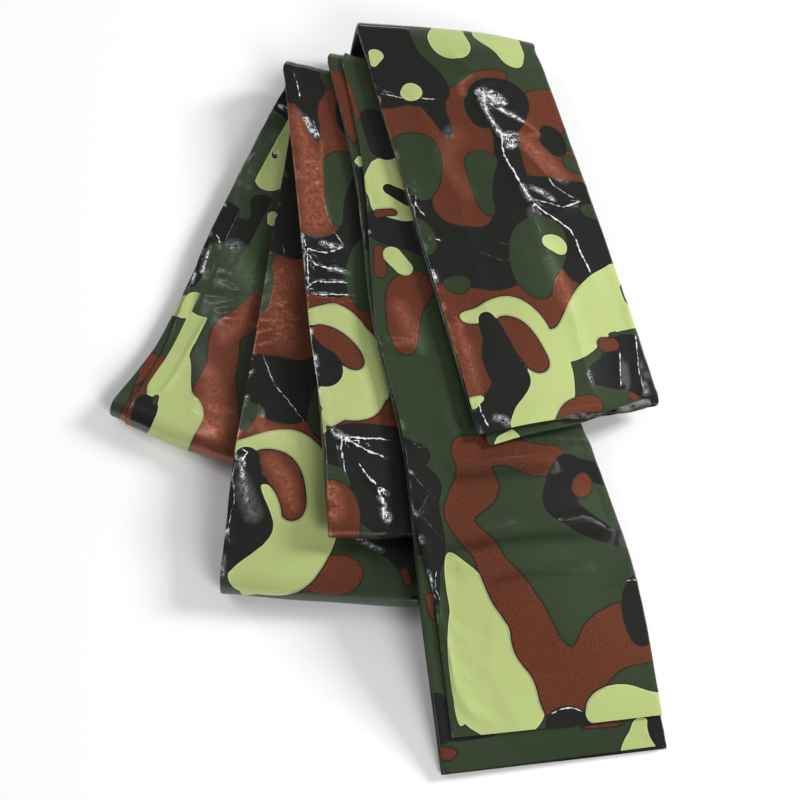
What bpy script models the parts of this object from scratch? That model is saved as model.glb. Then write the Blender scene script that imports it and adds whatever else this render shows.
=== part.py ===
"""Emergency sleeping bag of printed metallised film, folded and laid down in a fan.

The bag is pleated lengthwise into a narrow strip, and the strip is laid to and fro in zigzag
folds, each lay on the ones before it. It is one piece: one film, folded back and forth across
the strip into leaves a little apart, and carried along the whole route. The tables are in
millimetres and everything else in metres. Z is up, and the lowest lay lies on Z = 0.
"""
import math
from collections import namedtuple

import bmesh
import bpy
import numpy as np

MM = 0.001

# The folded strip: leaves of film through its thickness, and the space left between two lays.
LEAVES = 3
LEAF = 1.0 * MM
LEAF_GAP = 0.45 * MM
LEAF_PITCH = LEAF + LEAF_GAP
STACK = LEAVES * LEAF + (LEAVES - 1) * LEAF_GAP
LAY_GAP = 0.7 * MM

# The tables' zero, moved to the middle of the folded bag.
CENTRE = (-7.5 * MM, 17.4 * MM)

# Steps of the mesh: points across the strip, steps along it and around each turn.
COLUMNS = 5
STATION_STEP = 19.0 * MM
LOOP_STEPS = 5
ROUNDING = 12

# How stiff film lies over what is below it: it stays level for LEVEL_CELLS past an edge and
# then comes down at SLOPE, for at most FALL_CELLS. The pile is measured on square cells.
CELL = 3.0 * MM
LEVEL_CELLS = 4
FALL_CELLS = 36
SLOPE = 0.34
SOFTENINGS = 2
PILE_CORNER = (-190.0 * MM, -240.0 * MM)
PILE_CELLS = (125, 175)
PATCH_STEPS = 12

# A turn that stands open holds its upper lay up, and the lay comes down again within EASE.
EASE = 70.0 * MM

# Lines across the strip where it turns over (mm): both ends of the outermost line of the
# turn, how far the turn stands out, how far its two lays are held apart, and how far to the
# side the lower lay starts.
Fold = namedtuple("Fold", "left_x left_y right_x right_y bulge apart lean")
FOLDS = {
    "far_outer": Fold(-22, 214, 73, 207, 9.0, 0.0, -7.0),
    "near_long": Fold(-81, -99, 9, -106, 9.0, 14.0, 0.0),
    "far_inner": Fold(-55, 181, 32, 157, 2.6, 0.0, 0.0),
    "near_tight": Fold(-32, -79, 56, -76, 2.6, 0.0, 0.0),
    "far_left": Fold(-61, 193, 26, 169, 6.0, 0.0, 0.0),
    "near_left": Fold(-140, -10, -57, -47, 5.0, 10.0, 0.0),
    "far_middle": Fold(-37, 197, 49, 177, 8.0, 0.0, 0.0),
}

# The strip's two cut ends, left end and right end (mm).
ENDS = {
    "end_upper": (36, -35, 125, -10),
    "end_lower": (18, -181, 116, -169),
}

# The lays in order along the strip: the level in the pile, the lines that a lay runs between,
# and the lines across it in between, where its edges bend (mm).
Lay = namedtuple("Lay", "name level start finish between")
LAYS = (
    Lay("top", 7, "end_upper", "far_outer", ()),
    Lay("ground", 0, "far_outer", "near_long", ()),
    Lay("middle_lower", 3, "near_long", "far_inner", ((-77, -44, 14, -48), (-67, 62, 22, 58))),
    Lay("middle_hidden", 4, "far_inner", "near_tight", ()),
    Lay("middle_upper", 5, "near_tight", "far_left", (
        (-34, -40, 55, -38),
        (-44, 28, 46, 26),
        (-51, 90, 38, 86),
    )),
    Lay("left_upper", 2, "far_left", "near_left", (
        (-91, 112, -4, 82),
        (-114, 46, -28, 12),
        (-126, 15, -42, -20),
    )),
    Lay("left_lower", 1, "near_left", "far_middle", ()),
    Lay("long", 6, "far_middle", "end_lower", (
        (-23, 118, 66, 112),
        (-12, 12, 78, 8),
        (1, -28, 88, -27),
        (5, -71, 99, -68),
        (8, -108, 109, -102),
    )),
)

# The first leaf's free edge lies inside the folded edge beside it. Each pair is a share of the
# way along a lay and how far inside the edge is there (mm).
LOOSE_EDGE = {
    "left_upper": ((0.0, 0.0), (0.55, 0.0), (1.0, 9.0)),
    "left_lower": ((0.0, 9.0), (0.4, 0.0), (1.0, 8.0)),
    "long": ((0.0, 8.0), (0.45, 0.5), (0.7, 0.0), (0.8, 6.0), (1.0, 6.0)),
}
EVEN_EDGE = ((0.0, 0.0), (1.0, 0.0))

# How far each leaf stops short of the strip's two ends. The first leaf is cut well back at the
# lower end.
UPPER_END_STEP = (0.0, 2.0 * MM, 0.5 * MM)
LOWER_END_STEP = (16.0 * MM, 0.0, 1.5 * MM)


def remove_everything():
    """Start from an empty scene."""
    for thing in list(bpy.data.objects):
        bpy.data.objects.remove(thing, do_unlink=True)


def unit(vector):
    """A vector of length one, or a grid of them."""
    return vector / np.linalg.norm(vector, axis=-1, keepdims=True)


def line_ends(line):
    """Both ends of a line across the strip, in metres: left x, left y, right x, right y."""
    return np.array(FOLDS[line][:4] if line in FOLDS else ENDS[line], float) * MM


def square_to(row, toward):
    """The level direction square to a line across the strip, on the side of a point."""
    along = unit(row[2:] - row[:2])
    side = np.array((-along[1], along[0]))
    return side if np.dot(side, toward - (row[:2] + row[2:]) / 2) > 0 else -side


def partner(lay, line):
    """The other lay that shares a turn."""
    return next(other for other in LAYS if line in (other.start, other.finish) and other != lay)


def plan_rows(lay):
    """The lines across one lay. A turn's line is drawn in by how far the turn stands out."""
    rows = [np.array(row, float) * MM for row in lay.between]
    rows = np.array([line_ends(lay.start), *rows, line_ends(lay.finish)])
    middle = (rows[:, :2] + rows[:, 2:]) / 2
    for line, row, inner in ((lay.start, 0, 1), (lay.finish, -1, -2)):
        if line in FOLDS:
            inward = square_to(rows[row], middle[inner])
            rows[row] += np.tile(inward * FOLDS[line].bulge * MM, 2)
            if lay.level < partner(lay, line).level:
                rows[row, (0, 2)] += FOLDS[line].lean * MM
    return rows


def lay_plan(lay):
    """Plan position of each station and column of a lay, its edges rounded where they bend."""
    rows = plan_rows(lay)
    middle = (rows[:, :2] + rows[:, 2:]) / 2
    steps = np.linalg.norm(np.diff(middle, axis=0), axis=1)
    run = np.concatenate(([0.0], np.cumsum(steps)))
    count = int(round(run[-1] / STATION_STEP))
    fine = np.linspace(0.0, run[-1], ROUNDING * count + 1)
    window = np.ones(2 * count + 1) / (2 * count + 1)
    edges = np.empty((len(fine), 4))
    for k in range(4):
        straight = np.interp(fine, (0.0, run[-1]), (rows[0, k], rows[-1, k]))
        bend = np.interp(fine, run, rows[:, k]) - straight
        padded = np.pad(bend, count, mode="reflect", reflect_type="odd")
        edges[:, k] = straight + np.convolve(padded, window, mode="valid")
    edges = edges[::ROUNDING, None]
    share = np.linspace(0.0, 1.0, COLUMNS)[None, :, None]
    return edges[..., :2] * (1 - share) + edges[..., 2:] * share


def shifted(field, dx, dy):
    """A height field moved by whole cells."""
    rows, columns = field.shape
    padded = np.pad(field, 1, mode="edge")
    return padded[1 + dy : rows + 1 + dy, 1 + dx : columns + 1 + dx]


def spread(pile):
    """Where stiff film comes to lie over the pile."""
    field = pile
    steps = [(dx, dy) for dx in (-1, 0, 1) for dy in (-1, 0, 1) if (dx, dy) != (0, 0)]
    for turn in range(LEVEL_CELLS + FALL_CELLS):
        drop = 0.0 if turn < LEVEL_CELLS else SLOPE * CELL
        lowered = [shifted(field, dx, dy) - drop * math.hypot(dx, dy) for dx, dy in steps]
        field = np.maximum.reduce([field, *lowered])
    for _ in range(SOFTENINGS):
        soft = sum(shifted(field, dx, dy) for dx, dy in steps) / len(steps)
        field = np.maximum(soft, pile)
    return field


def read_field(field, spots):
    """Heights of a field at plan spots, between its cells."""
    x = (spots[..., 0] - PILE_CORNER[0]) / CELL
    y = (spots[..., 1] - PILE_CORNER[1]) / CELL
    i, j = x.astype(int), y.astype(int)
    a, b = x - i, y - j
    low = field[j, i] * (1 - a) + field[j, i + 1] * a
    high = field[j + 1, i] * (1 - a) + field[j + 1, i + 1] * a
    return low * (1 - b) + high * b


def add_to_pile(pile, top):
    """Raise the pile to the top of a lay."""
    u, v = np.meshgrid(*[np.linspace(0.0, 1.0, PATCH_STEPS)] * 2)
    for a in range(len(top) - 1):
        for b in range(COLUMNS - 1):
            spots = (
                np.multiply.outer((1 - u) * (1 - v), top[a, b])
                + np.multiply.outer(u * (1 - v), top[a, b + 1])
                + np.multiply.outer((1 - u) * v, top[a + 1, b])
                + np.multiply.outer(u * v, top[a + 1, b + 1])
            )
            cells = np.rint((spots[..., :2] - PILE_CORNER) / CELL).astype(int)
            np.maximum.at(pile, (cells[..., 1], cells[..., 0]), spots[..., 2])


def held_open(lay, plan, grids):
    """The least height that the turns at a lay's ends hold it at."""
    least = np.zeros(plan.shape[:2])
    for line, end in ((lay.start, 0), (lay.finish, -1)):
        if line in FOLDS and partner(lay, line).level < lay.level:
            below = partner(lay, line)
            height = grids[below.name][0 if below.start == line else -1][:, 2]
            away = np.linalg.norm(plan - plan[end], axis=2)
            ease = np.clip(1 - away / EASE, 0, 1)
            ease = ease * ease * (3 - 2 * ease)
            least = np.maximum(least, (height + FOLDS[line].apart * MM) * ease)
    return least


def laid_down():
    """Every lay as a grid of points on its middle surface, laid from the lowest up."""
    pile = np.zeros(PILE_CELLS[::-1])
    grids = {}
    for lay in sorted(LAYS, key=lambda row: row.level):
        plan = lay_plan(lay)
        below = read_field(spread(pile), plan)
        height = below + LAY_GAP * np.clip(below / LAY_GAP, 0, 1) + STACK / 2
        height = np.maximum(height, held_open(lay, plan, grids))
        least = height.copy()
        for _ in range(SOFTENINGS):
            height[1:-1] = (height[:-2] + 2 * height[1:-1] + height[2:]) / 4
            height = np.maximum(height, least)
        grid = np.dstack((plan, height))
        grids[lay.name] = grid
        # The turns reach past a lay's ends, so the pile is raised one step further each way.
        before = grid[:1] * 2 - grid[1:2]
        after = grid[-1:] * 2 - grid[-2:-1]
        before[..., 2], after[..., 2] = grid[:1, :, 2], grid[-1:, :, 2]
        add_to_pile(pile, np.concatenate((before, grid, after)) + (0, 0, STACK / 2))
    return grids


def turn_over(line, before, after):
    """The rings of one turn, from the end of a lay to the start of the next."""
    row = line_ends(line)
    outward = -square_to(row, before[:, :2].mean(0))
    rings = []
    for step in range(1, LOOP_STEPS + 1):
        angle = math.pi * (step / (LOOP_STEPS + 1) - 0.5)
        share = (1 + math.sin(angle)) / 2
        ring = before * (1 - share) + after * share
        ring[:, :2] += outward * FOLDS[line].bulge * MM * math.cos(angle)
        rings.append(ring)
    return rings


def middle_surface():
    """The whole strip, as stations along it by columns across it, and its loose edge's inset."""
    grids = laid_down()
    rings = []
    insets = []
    for lay, following in zip(LAYS, (*LAYS[1:], None)):
        grid = grids[lay.name]
        rings.extend(grid)
        shares, depths = zip(*LOOSE_EDGE.get(lay.name, EVEN_EDGE))
        insets.extend(np.interp(np.linspace(0.0, 1.0, len(grid)), shares, depths) * MM)
        if following:
            rings.extend(turn_over(lay.finish, grid[-1], grids[following.name][0]))
            insets.extend([insets[-1]] * LOOP_STEPS)
    return np.array(rings) - (*CENTRE, 0.0), np.array(insets)


def pulled(near, far, distance):
    """Points moved from near toward far by a distance."""
    return near + unit(far - near) * distance


def folded_film(surface, insets):
    """The film's own path back and forth across the strip, leaf after leaf."""
    side = unit(np.gradient(surface, axis=1))
    normal = unit(np.cross(side, np.gradient(surface, axis=0)))
    columns = []
    for leaf in range(LEAVES):
        offset = (leaf - (LEAVES - 1) / 2) * LEAF_PITCH
        sheet = surface + normal * offset
        if leaf == 0:
            sheet[:, 0] = pulled(sheet[:, 0], sheet[:, 1], insets[:, None])
        sheet[0] = pulled(sheet[0], sheet[1], UPPER_END_STEP[leaf])
        sheet[-1] = pulled(sheet[-1], sheet[-2], LOWER_END_STEP[leaf])
        order = range(COLUMNS) if leaf % 2 == 0 else range(COLUMNS - 1, -1, -1)
        columns.extend(sheet[:, column] for column in order)
        if leaf + 1 < LEAVES:
            edge = order[-1]
            outward = side[:, edge] if edge else -side[:, edge]
            crease = normal[:, edge] * (offset + LEAF_PITCH / 2) + outward * LEAF_PITCH / 2
            columns.append(surface[:, edge] + crease)
    return np.stack(columns, 1)


def film_object(name, path, material):
    """One sheet through all the points of the path, given its thickness."""
    stations, columns = path.shape[:2]
    mesh = bpy.data.meshes.new(name)
    bm = bmesh.new()
    bmesh.ops.create_grid(bm, x_segments=stations - 1, y_segments=columns - 1, size=1.0)
    for index, vertex in enumerate(bm.verts):
        column, station = divmod(index, stations)
        vertex.co = path[station, column]
    bm.to_mesh(mesh)
    bm.free()
    mesh.materials.append(material)
    thing = bpy.data.objects.new(name, mesh)
    bpy.context.scene.collection.objects.link(thing)
    thickness = thing.modifiers.new("leaf thickness", "SOLIDIFY")
    thickness.thickness = LEAF
    thickness.offset = 0.0
    thickness.use_even_offset = True
    thickness.use_quality_normals = True
    return thing


def film_material():
    """Glossy metallised film, in the dark green of its print."""
    material = bpy.data.materials.new("printed_film")
    material.use_nodes = True
    shader = material.node_tree.nodes["Principled BSDF"]
    shader.inputs["Base Color"].default_value = (0.045, 0.085, 0.040, 1.0)
    shader.inputs["Roughness"].default_value = 0.35
    shader.inputs["Metallic"].default_value = 0.2
    return material


def main():
    """The folded bag, in an empty scene."""
    remove_everything()
    surface, insets = middle_surface()
    film_object("folded_bag", folded_film(surface, insets), film_material())


main()
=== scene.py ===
# %% [markdown]
# # An emergency sleeping bag, folded and laid down in a fan
#
# The real thing is a bag of metallised film, a few hundredths of a millimetre thick, printed
# with camouflage. It is pleated lengthwise into a narrow strip, and the strip is laid to and
# fro in zigzag folds, each lay on the ones before it.
#
# We start from the imported model: its one solid has the true folded shape, and everything that
# follows is measured in metres in the same frame. The solid stays in the scene, hidden, once
# the film is built.

# %% The imported model
import math
from collections import namedtuple

import bmesh
import bpy
import numpy as np
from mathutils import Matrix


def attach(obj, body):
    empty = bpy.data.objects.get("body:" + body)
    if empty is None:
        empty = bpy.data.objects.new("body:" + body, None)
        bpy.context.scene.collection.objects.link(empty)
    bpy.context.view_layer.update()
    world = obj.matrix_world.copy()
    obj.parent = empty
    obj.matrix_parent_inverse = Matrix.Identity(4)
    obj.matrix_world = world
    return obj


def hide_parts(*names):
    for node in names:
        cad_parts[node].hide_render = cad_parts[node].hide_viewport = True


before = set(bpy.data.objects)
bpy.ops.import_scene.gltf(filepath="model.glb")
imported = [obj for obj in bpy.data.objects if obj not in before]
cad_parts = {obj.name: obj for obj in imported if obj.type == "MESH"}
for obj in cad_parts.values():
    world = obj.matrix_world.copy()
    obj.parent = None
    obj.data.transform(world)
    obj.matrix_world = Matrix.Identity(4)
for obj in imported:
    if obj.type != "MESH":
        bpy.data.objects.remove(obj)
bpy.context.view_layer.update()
MM = 0.001

# %% [markdown]
# ## The camera
#
# The bag is seen from in front and well above, as by somebody who has just laid it on a table.
# The camera looks at a spot on the table and stands back from it along a line that is raised
# by its elevation.

# %% The camera
TARGET = np.array((7.5, -17.4, 0.0)) * MM
DISTANCE = 632.0 * MM
ELEVATION = math.radians(64.0)

camera = bpy.data.objects.new("camera", bpy.data.cameras.new("camera"))
bpy.context.scene.collection.objects.link(camera)
bpy.context.scene.camera = camera
camera.data.lens = 57.6
camera.data.sensor_width = 36.0
camera.location = TARGET + DISTANCE * np.array((0.0, -math.cos(ELEVATION), math.sin(ELEVATION)))
camera.rotation_euler = (math.pi / 2 - ELEVATION, 0.0, 0.0)
print("camera at", np.round(camera.location, 3).tolist())

# %% [markdown]
# ## The route of the strip
#
# Eight lays follow one another, and seven turns join them. The tables give each turn and each
# lay as lines across the strip, in millimetres, the same ones that the solid was made from.
# A turn stands out a little, and two of them stand open and hold the strip up.

# %% The lines where the strip turns, and the lays between them
CENTRE = (-7.5 * MM, 17.4 * MM)

Fold = namedtuple("Fold", "left_x left_y right_x right_y bulge apart lean")
FOLDS = {
    "far_outer": Fold(-22, 214, 73, 207, 9.0, 0.0, -7.0),
    "near_long": Fold(-81, -99, 9, -106, 9.0, 14.0, 0.0),
    "far_inner": Fold(-55, 181, 32, 157, 2.6, 0.0, 0.0),
    "near_tight": Fold(-32, -79, 56, -76, 2.6, 0.0, 0.0),
    "far_left": Fold(-61, 193, 26, 169, 6.0, 0.0, 0.0),
    "near_left": Fold(-140, -10, -57, -47, 5.0, 10.0, 0.0),
    "far_middle": Fold(-37, 197, 49, 177, 8.0, 0.0, 0.0),
}
ENDS = {
    "end_upper": (36, -35, 125, -10),
    "end_lower": (18, -181, 116, -169),
}

Lay = namedtuple("Lay", "name level start finish between")
LAYS = (
    Lay("top", 7, "end_upper", "far_outer", ()),
    Lay("ground", 0, "far_outer", "near_long", ()),
    Lay("middle_lower", 3, "near_long", "far_inner", ((-77, -44, 14, -48), (-67, 62, 22, 58))),
    Lay("middle_hidden", 4, "far_inner", "near_tight", ()),
    Lay("middle_upper", 5, "near_tight", "far_left", (
        (-34, -40, 55, -38),
        (-44, 28, 46, 26),
        (-51, 90, 38, 86),
    )),
    Lay("left_upper", 2, "far_left", "near_left", (
        (-91, 112, -4, 82),
        (-114, 46, -28, 12),
        (-126, 15, -42, -20),
    )),
    Lay("left_lower", 1, "near_left", "far_middle", ()),
    Lay("long", 6, "far_middle", "end_lower", (
        (-23, 118, 66, 112),
        (-12, 12, 78, 8),
        (1, -28, 88, -27),
        (5, -71, 99, -68),
        (8, -108, 109, -102),
    )),
)
print(len(LAYS), "lays and", len(FOLDS), "turns")

# %% [markdown]
# ## Laying the strip down
#
# A cloth simulation would let eight lays of slippery film slide into a heap, and no two runs
# of a fold would fall where they should. So each lay is put down by a rule instead, from the
# lowest up: stiff film stays level for a little way past the edge of what is under it and
# then comes down at a steady slope. The pile's height is kept on a grid of square cells.

# %% Steps of the surface, and how the film lies over an edge
STACK = 3.9 * MM
LAY_GAP = 0.7 * MM
COLUMNS = 9
STATION_STEP = 9.5 * MM
LOOP_STEPS = 9
ROUNDING = 12
CELL = 3.0 * MM
LEVEL_CELLS = 4
FALL_CELLS = 36
SLOPE = 0.34
SOFTENINGS = 2
PILE_CORNER = np.array((-190.0, -240.0)) * MM
PILE_CELLS = (125, 175)
PATCH_STEPS = 8
EASE = 70.0 * MM


# %% Plan: where every line across the strip lies
def unit(vector):
    """A vector of length one, or a grid of them."""
    return vector / np.linalg.norm(vector, axis=-1, keepdims=True)


def line_ends(line):
    """Both ends of a line across the strip, in metres: left x, left y, right x, right y."""
    return np.array(FOLDS[line][:4] if line in FOLDS else ENDS[line], float) * MM


def square_to(row, toward):
    """The level direction square to a line across the strip, on the side of a point."""
    along = unit(row[2:] - row[:2])
    side = np.array((-along[1], along[0]))
    return side if np.dot(side, toward - (row[:2] + row[2:]) / 2) > 0 else -side


def partner(lay, line):
    """The other lay that shares a turn."""
    return next(other for other in LAYS if line in (other.start, other.finish) and other != lay)


def plan_rows(lay):
    """The lines across one lay. A turn's line is drawn in by how far the turn stands out."""
    rows = [np.array(row, float) * MM for row in lay.between]
    rows = np.array([line_ends(lay.start), *rows, line_ends(lay.finish)])
    middle = (rows[:, :2] + rows[:, 2:]) / 2
    for line, row, inner in ((lay.start, 0, 1), (lay.finish, -1, -2)):
        if line in FOLDS:
            inward = square_to(rows[row], middle[inner])
            rows[row] += np.tile(inward * FOLDS[line].bulge * MM, 2)
            if lay.level < partner(lay, line).level:
                rows[row, (0, 2)] += FOLDS[line].lean * MM
    return rows


def lay_plan(lay):
    """Plan position of each station and column of a lay, its edges rounded where they bend."""
    rows = plan_rows(lay)
    middle = (rows[:, :2] + rows[:, 2:]) / 2
    steps = np.linalg.norm(np.diff(middle, axis=0), axis=1)
    run = np.concatenate(([0.0], np.cumsum(steps)))
    count = int(round(run[-1] / STATION_STEP))
    fine = np.linspace(0.0, run[-1], ROUNDING * count + 1)
    window = np.ones(2 * count + 1) / (2 * count + 1)
    edges = np.empty((len(fine), 4))
    for k in range(4):
        straight = np.interp(fine, (0.0, run[-1]), (rows[0, k], rows[-1, k]))
        bend = np.interp(fine, run, rows[:, k]) - straight
        padded = np.pad(bend, count, mode="reflect", reflect_type="odd")
        edges[:, k] = straight + np.convolve(padded, window, mode="valid")
    edges = edges[::ROUNDING, None]
    share = np.linspace(0.0, 1.0, COLUMNS)[None, :, None]
    return edges[..., :2] * (1 - share) + edges[..., 2:] * share


print("plan of the top lay:", lay_plan(LAYS[0]).shape[:2], "points")


# %% Height: how a lay comes to rest on the pile
def shifted(field, dx, dy):
    """A field moved by whole cells."""
    rows, columns = field.shape
    padded = np.pad(field, 1, mode="edge")
    return padded[1 + dy : rows + 1 + dy, 1 + dx : columns + 1 + dx]


def spread(pile):
    """Where stiff film comes to lie over the pile."""
    field = pile
    steps = [(dx, dy) for dx in (-1, 0, 1) for dy in (-1, 0, 1) if (dx, dy) != (0, 0)]
    for turn in range(LEVEL_CELLS + FALL_CELLS):
        drop = 0.0 if turn < LEVEL_CELLS else SLOPE * CELL
        lowered = [shifted(field, dx, dy) - drop * math.hypot(dx, dy) for dx, dy in steps]
        field = np.maximum.reduce([field, *lowered])
    for _ in range(SOFTENINGS):
        soft = sum(shifted(field, dx, dy) for dx, dy in steps) / len(steps)
        field = np.maximum(soft, pile)
    return field


def read_field(field, spots, cell=CELL):
    """Values of a field at plan spots, between its cells."""
    x = (spots[..., 0] - PILE_CORNER[0]) / cell
    y = (spots[..., 1] - PILE_CORNER[1]) / cell
    i, j = x.astype(int), y.astype(int)
    a, b = x - i, y - j
    low = field[j, i] * (1 - a) + field[j, i + 1] * a
    high = field[j + 1, i] * (1 - a) + field[j + 1, i + 1] * a
    return low * (1 - b) + high * b


def straight_between(grid, steps):
    """A grid with more rows, in straight lines between its own."""
    place = np.linspace(0.0, len(grid) - 1.0, steps * (len(grid) - 1) + 1)
    low = np.minimum(place.astype(int), len(grid) - 2)
    share = (place - low)[:, None, None]
    return grid[low] * (1 - share) + grid[low + 1] * share


def add_to_pile(pile, top):
    """Raise the pile to the top of a lay."""
    spots = straight_between(top, PATCH_STEPS)
    spots = straight_between(spots.swapaxes(0, 1), PATCH_STEPS)
    cells = np.rint((spots[..., :2] - PILE_CORNER) / CELL).astype(int)
    np.maximum.at(pile, (cells[..., 1], cells[..., 0]), spots[..., 2])


def held_open(lay, plan, grids):
    """The least height that the turns at a lay's ends hold it at."""
    least = np.zeros(plan.shape[:2])
    for line, end in ((lay.start, 0), (lay.finish, -1)):
        if line in FOLDS and partner(lay, line).level < lay.level:
            below = partner(lay, line)
            height = grids[below.name][0 if below.start == line else -1][:, 2]
            away = np.linalg.norm(plan - plan[end], axis=2)
            ease = np.clip(1 - away / EASE, 0, 1)
            ease = ease * ease * (3 - 2 * ease)
            least = np.maximum(least, (height + FOLDS[line].apart * MM) * ease)
    return least


def laid_down():
    """Every lay as a grid of points on its middle surface, laid from the lowest up."""
    pile = np.zeros(PILE_CELLS[::-1])
    grids = {}
    for lay in sorted(LAYS, key=lambda row: row.level):
        plan = lay_plan(lay)
        below = read_field(spread(pile), plan)
        height = below + LAY_GAP * np.clip(below / LAY_GAP, 0, 1) + STACK / 2
        height = np.maximum(height, held_open(lay, plan, grids))
        least = height.copy()
        for _ in range(SOFTENINGS):
            height[1:-1] = (height[:-2] + 2 * height[1:-1] + height[2:]) / 4
            height = np.maximum(height, least)
        grid = np.dstack((plan, height))
        grids[lay.name] = grid
        before = grid[:1] * 2 - grid[1:2]
        after = grid[-1:] * 2 - grid[-2:-1]
        before[..., 2], after[..., 2] = grid[:1, :, 2], grid[-1:, :, 2]
        add_to_pile(pile, np.concatenate((before, grid, after)) + (0, 0, STACK / 2))
    return grids


GRIDS = laid_down()
print("heights (mm):", {name: round(grid[..., 2].max() / MM, 1) for name, grid in GRIDS.items()})


# %% [markdown]
# ## One surface from end to end
#
# The lays are joined by their turns into a single surface: stations along the strip by columns
# across it. A turn is half an ellipse about the line where the strip turns over. `STRETCHES`
# remembers which part of the run is which lay or turn, because the print and the creases are
# placed lay by lay.

# %% The middle surface of the strip
def turn_over(line, before, after):
    """The rings of one turn, from the end of a lay to the start of the next."""
    outward = -square_to(line_ends(line), before[:, :2].mean(0))
    rings = []
    for step in range(1, LOOP_STEPS + 1):
        angle = math.pi * (step / (LOOP_STEPS + 1) - 0.5)
        share = (1 + math.sin(angle)) / 2
        ring = before * (1 - share) + after * share
        ring[:, :2] += outward * FOLDS[line].bulge * MM * math.cos(angle)
        rings.append(ring)
    return rings


def whole_strip():
    """All rings, and the first and last ring of each lay."""
    rings = []
    spans = {}
    for lay, following in zip(LAYS, (*LAYS[1:], None)):
        grid = GRIDS[lay.name]
        spans[lay.name] = (len(rings), len(rings) + len(grid) - 1)
        rings.extend(grid)
        if following:
            rings.extend(turn_over(lay.finish, grid[-1], GRIDS[following.name][0]))
    return np.array(rings) - (*CENTRE, 0.0), spans


STRIP, SPANS = whole_strip()
MIDDLE = STRIP[:, COLUMNS // 2]
RUN = np.concatenate(([0.0], np.cumsum(np.linalg.norm(np.diff(MIDDLE, axis=0), axis=1))))
Stretch = namedtuple("Stretch", "name begin end")
STRETCHES = []
for lay in LAYS:
    first, last = SPANS[lay.name]
    STRETCHES.append(Stretch(lay.name, RUN[first], RUN[last]))
    if last + 1 < len(RUN):
        STRETCHES.append(Stretch(lay.finish, RUN[last], RUN[last + LOOP_STEPS + 1]))
BEGIN = {stretch.name: stretch.begin for stretch in STRETCHES}
END = {stretch.name: stretch.end for stretch in STRETCHES}
print("strip:", round(RUN[-1], 3), "m long,", len(RUN), "rings")


# %% [markdown]
# ## Finer points where the film shows
#
# A crease in film is sharp, so a visible leaf needs a point about every millimetre, while a
# leaf inside the stack only needs enough to follow the bends. Smooth curves through the rings
# give both from the same surface.

# %% Smooth curves through the rings
FINE = 1.0 * MM
PLAIN = 8.0 * MM
WIDTH = 92.0
FINE_COLUMNS = 89


def smooth_through(points, places, wanted):
    """Points at wanted places, on smooth curves through the given points."""
    step = np.diff(places)
    slope = np.diff(points, axis=0) / step[:, None, None]
    tangent = np.concatenate((slope[:1], slope[:1], slope[1:]))
    weight = (step[1:] / (step[1:] + step[:-1]))[:, None, None]
    tangent[1:-1] = slope[:-1] * weight + slope[1:] * (1 - weight)
    tangent[-1] = slope[-1]
    low = np.clip(np.searchsorted(places, wanted, side="right") - 1, 0, len(step) - 1)
    size = step[low][:, None, None]
    t = ((wanted - places[low]) / step[low])[:, None, None]
    ends = (1 + 2 * t) * (1 - t) ** 2 * points[low] + t * t * (3 - 2 * t) * points[low + 1]
    bends = t * (1 - t) ** 2 * tangent[low] + t * t * (t - 1) * tangent[low + 1]
    return ends + bends * size


def runs_of(fine_stretches, fine=FINE, plain=PLAIN):
    """Where along the strip a leaf has its rows of points."""
    runs = []
    for stretch in STRETCHES:
        step = fine if stretch.name in fine_stretches else plain
        if stretch.name in FOLDS:
            step = min(step, 2.0 * MM)
        count = max(2, round((stretch.end - stretch.begin) / step))
        runs.append(np.linspace(stretch.begin, stretch.end, count, endpoint=False))
    return np.concatenate((*runs, [RUN[-1]]))


def surface_at(runs, shares):
    """The strip's middle surface at a grid of runs and shares of its width."""
    rows = smooth_through(STRIP, RUN, runs)
    columns = np.linspace(0.0, 1.0, COLUMNS)
    return smooth_through(rows.swapaxes(0, 1), columns, shares).swapaxes(0, 1)


print("rows of a fine leaf:", len(runs_of(("top", "middle_lower", "middle_upper"))))

# %% [markdown]
# ## The print
#
# Camouflage of this kind is four inks in soft blots. Each blot is a chain of circles, joined by
# straight tapering necks, and the blots are printed one over another: the last one wins. For
# each ink we keep how far a spot lies from its outline, negative inside. Such a distance can
# be read between the mesh's points without losing its sharp edge, which a painted colour
# can't. The print repeats every 572 mm along the film. `u` runs across the strip from its
# left edge and `v` along it, in millimetres.

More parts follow.
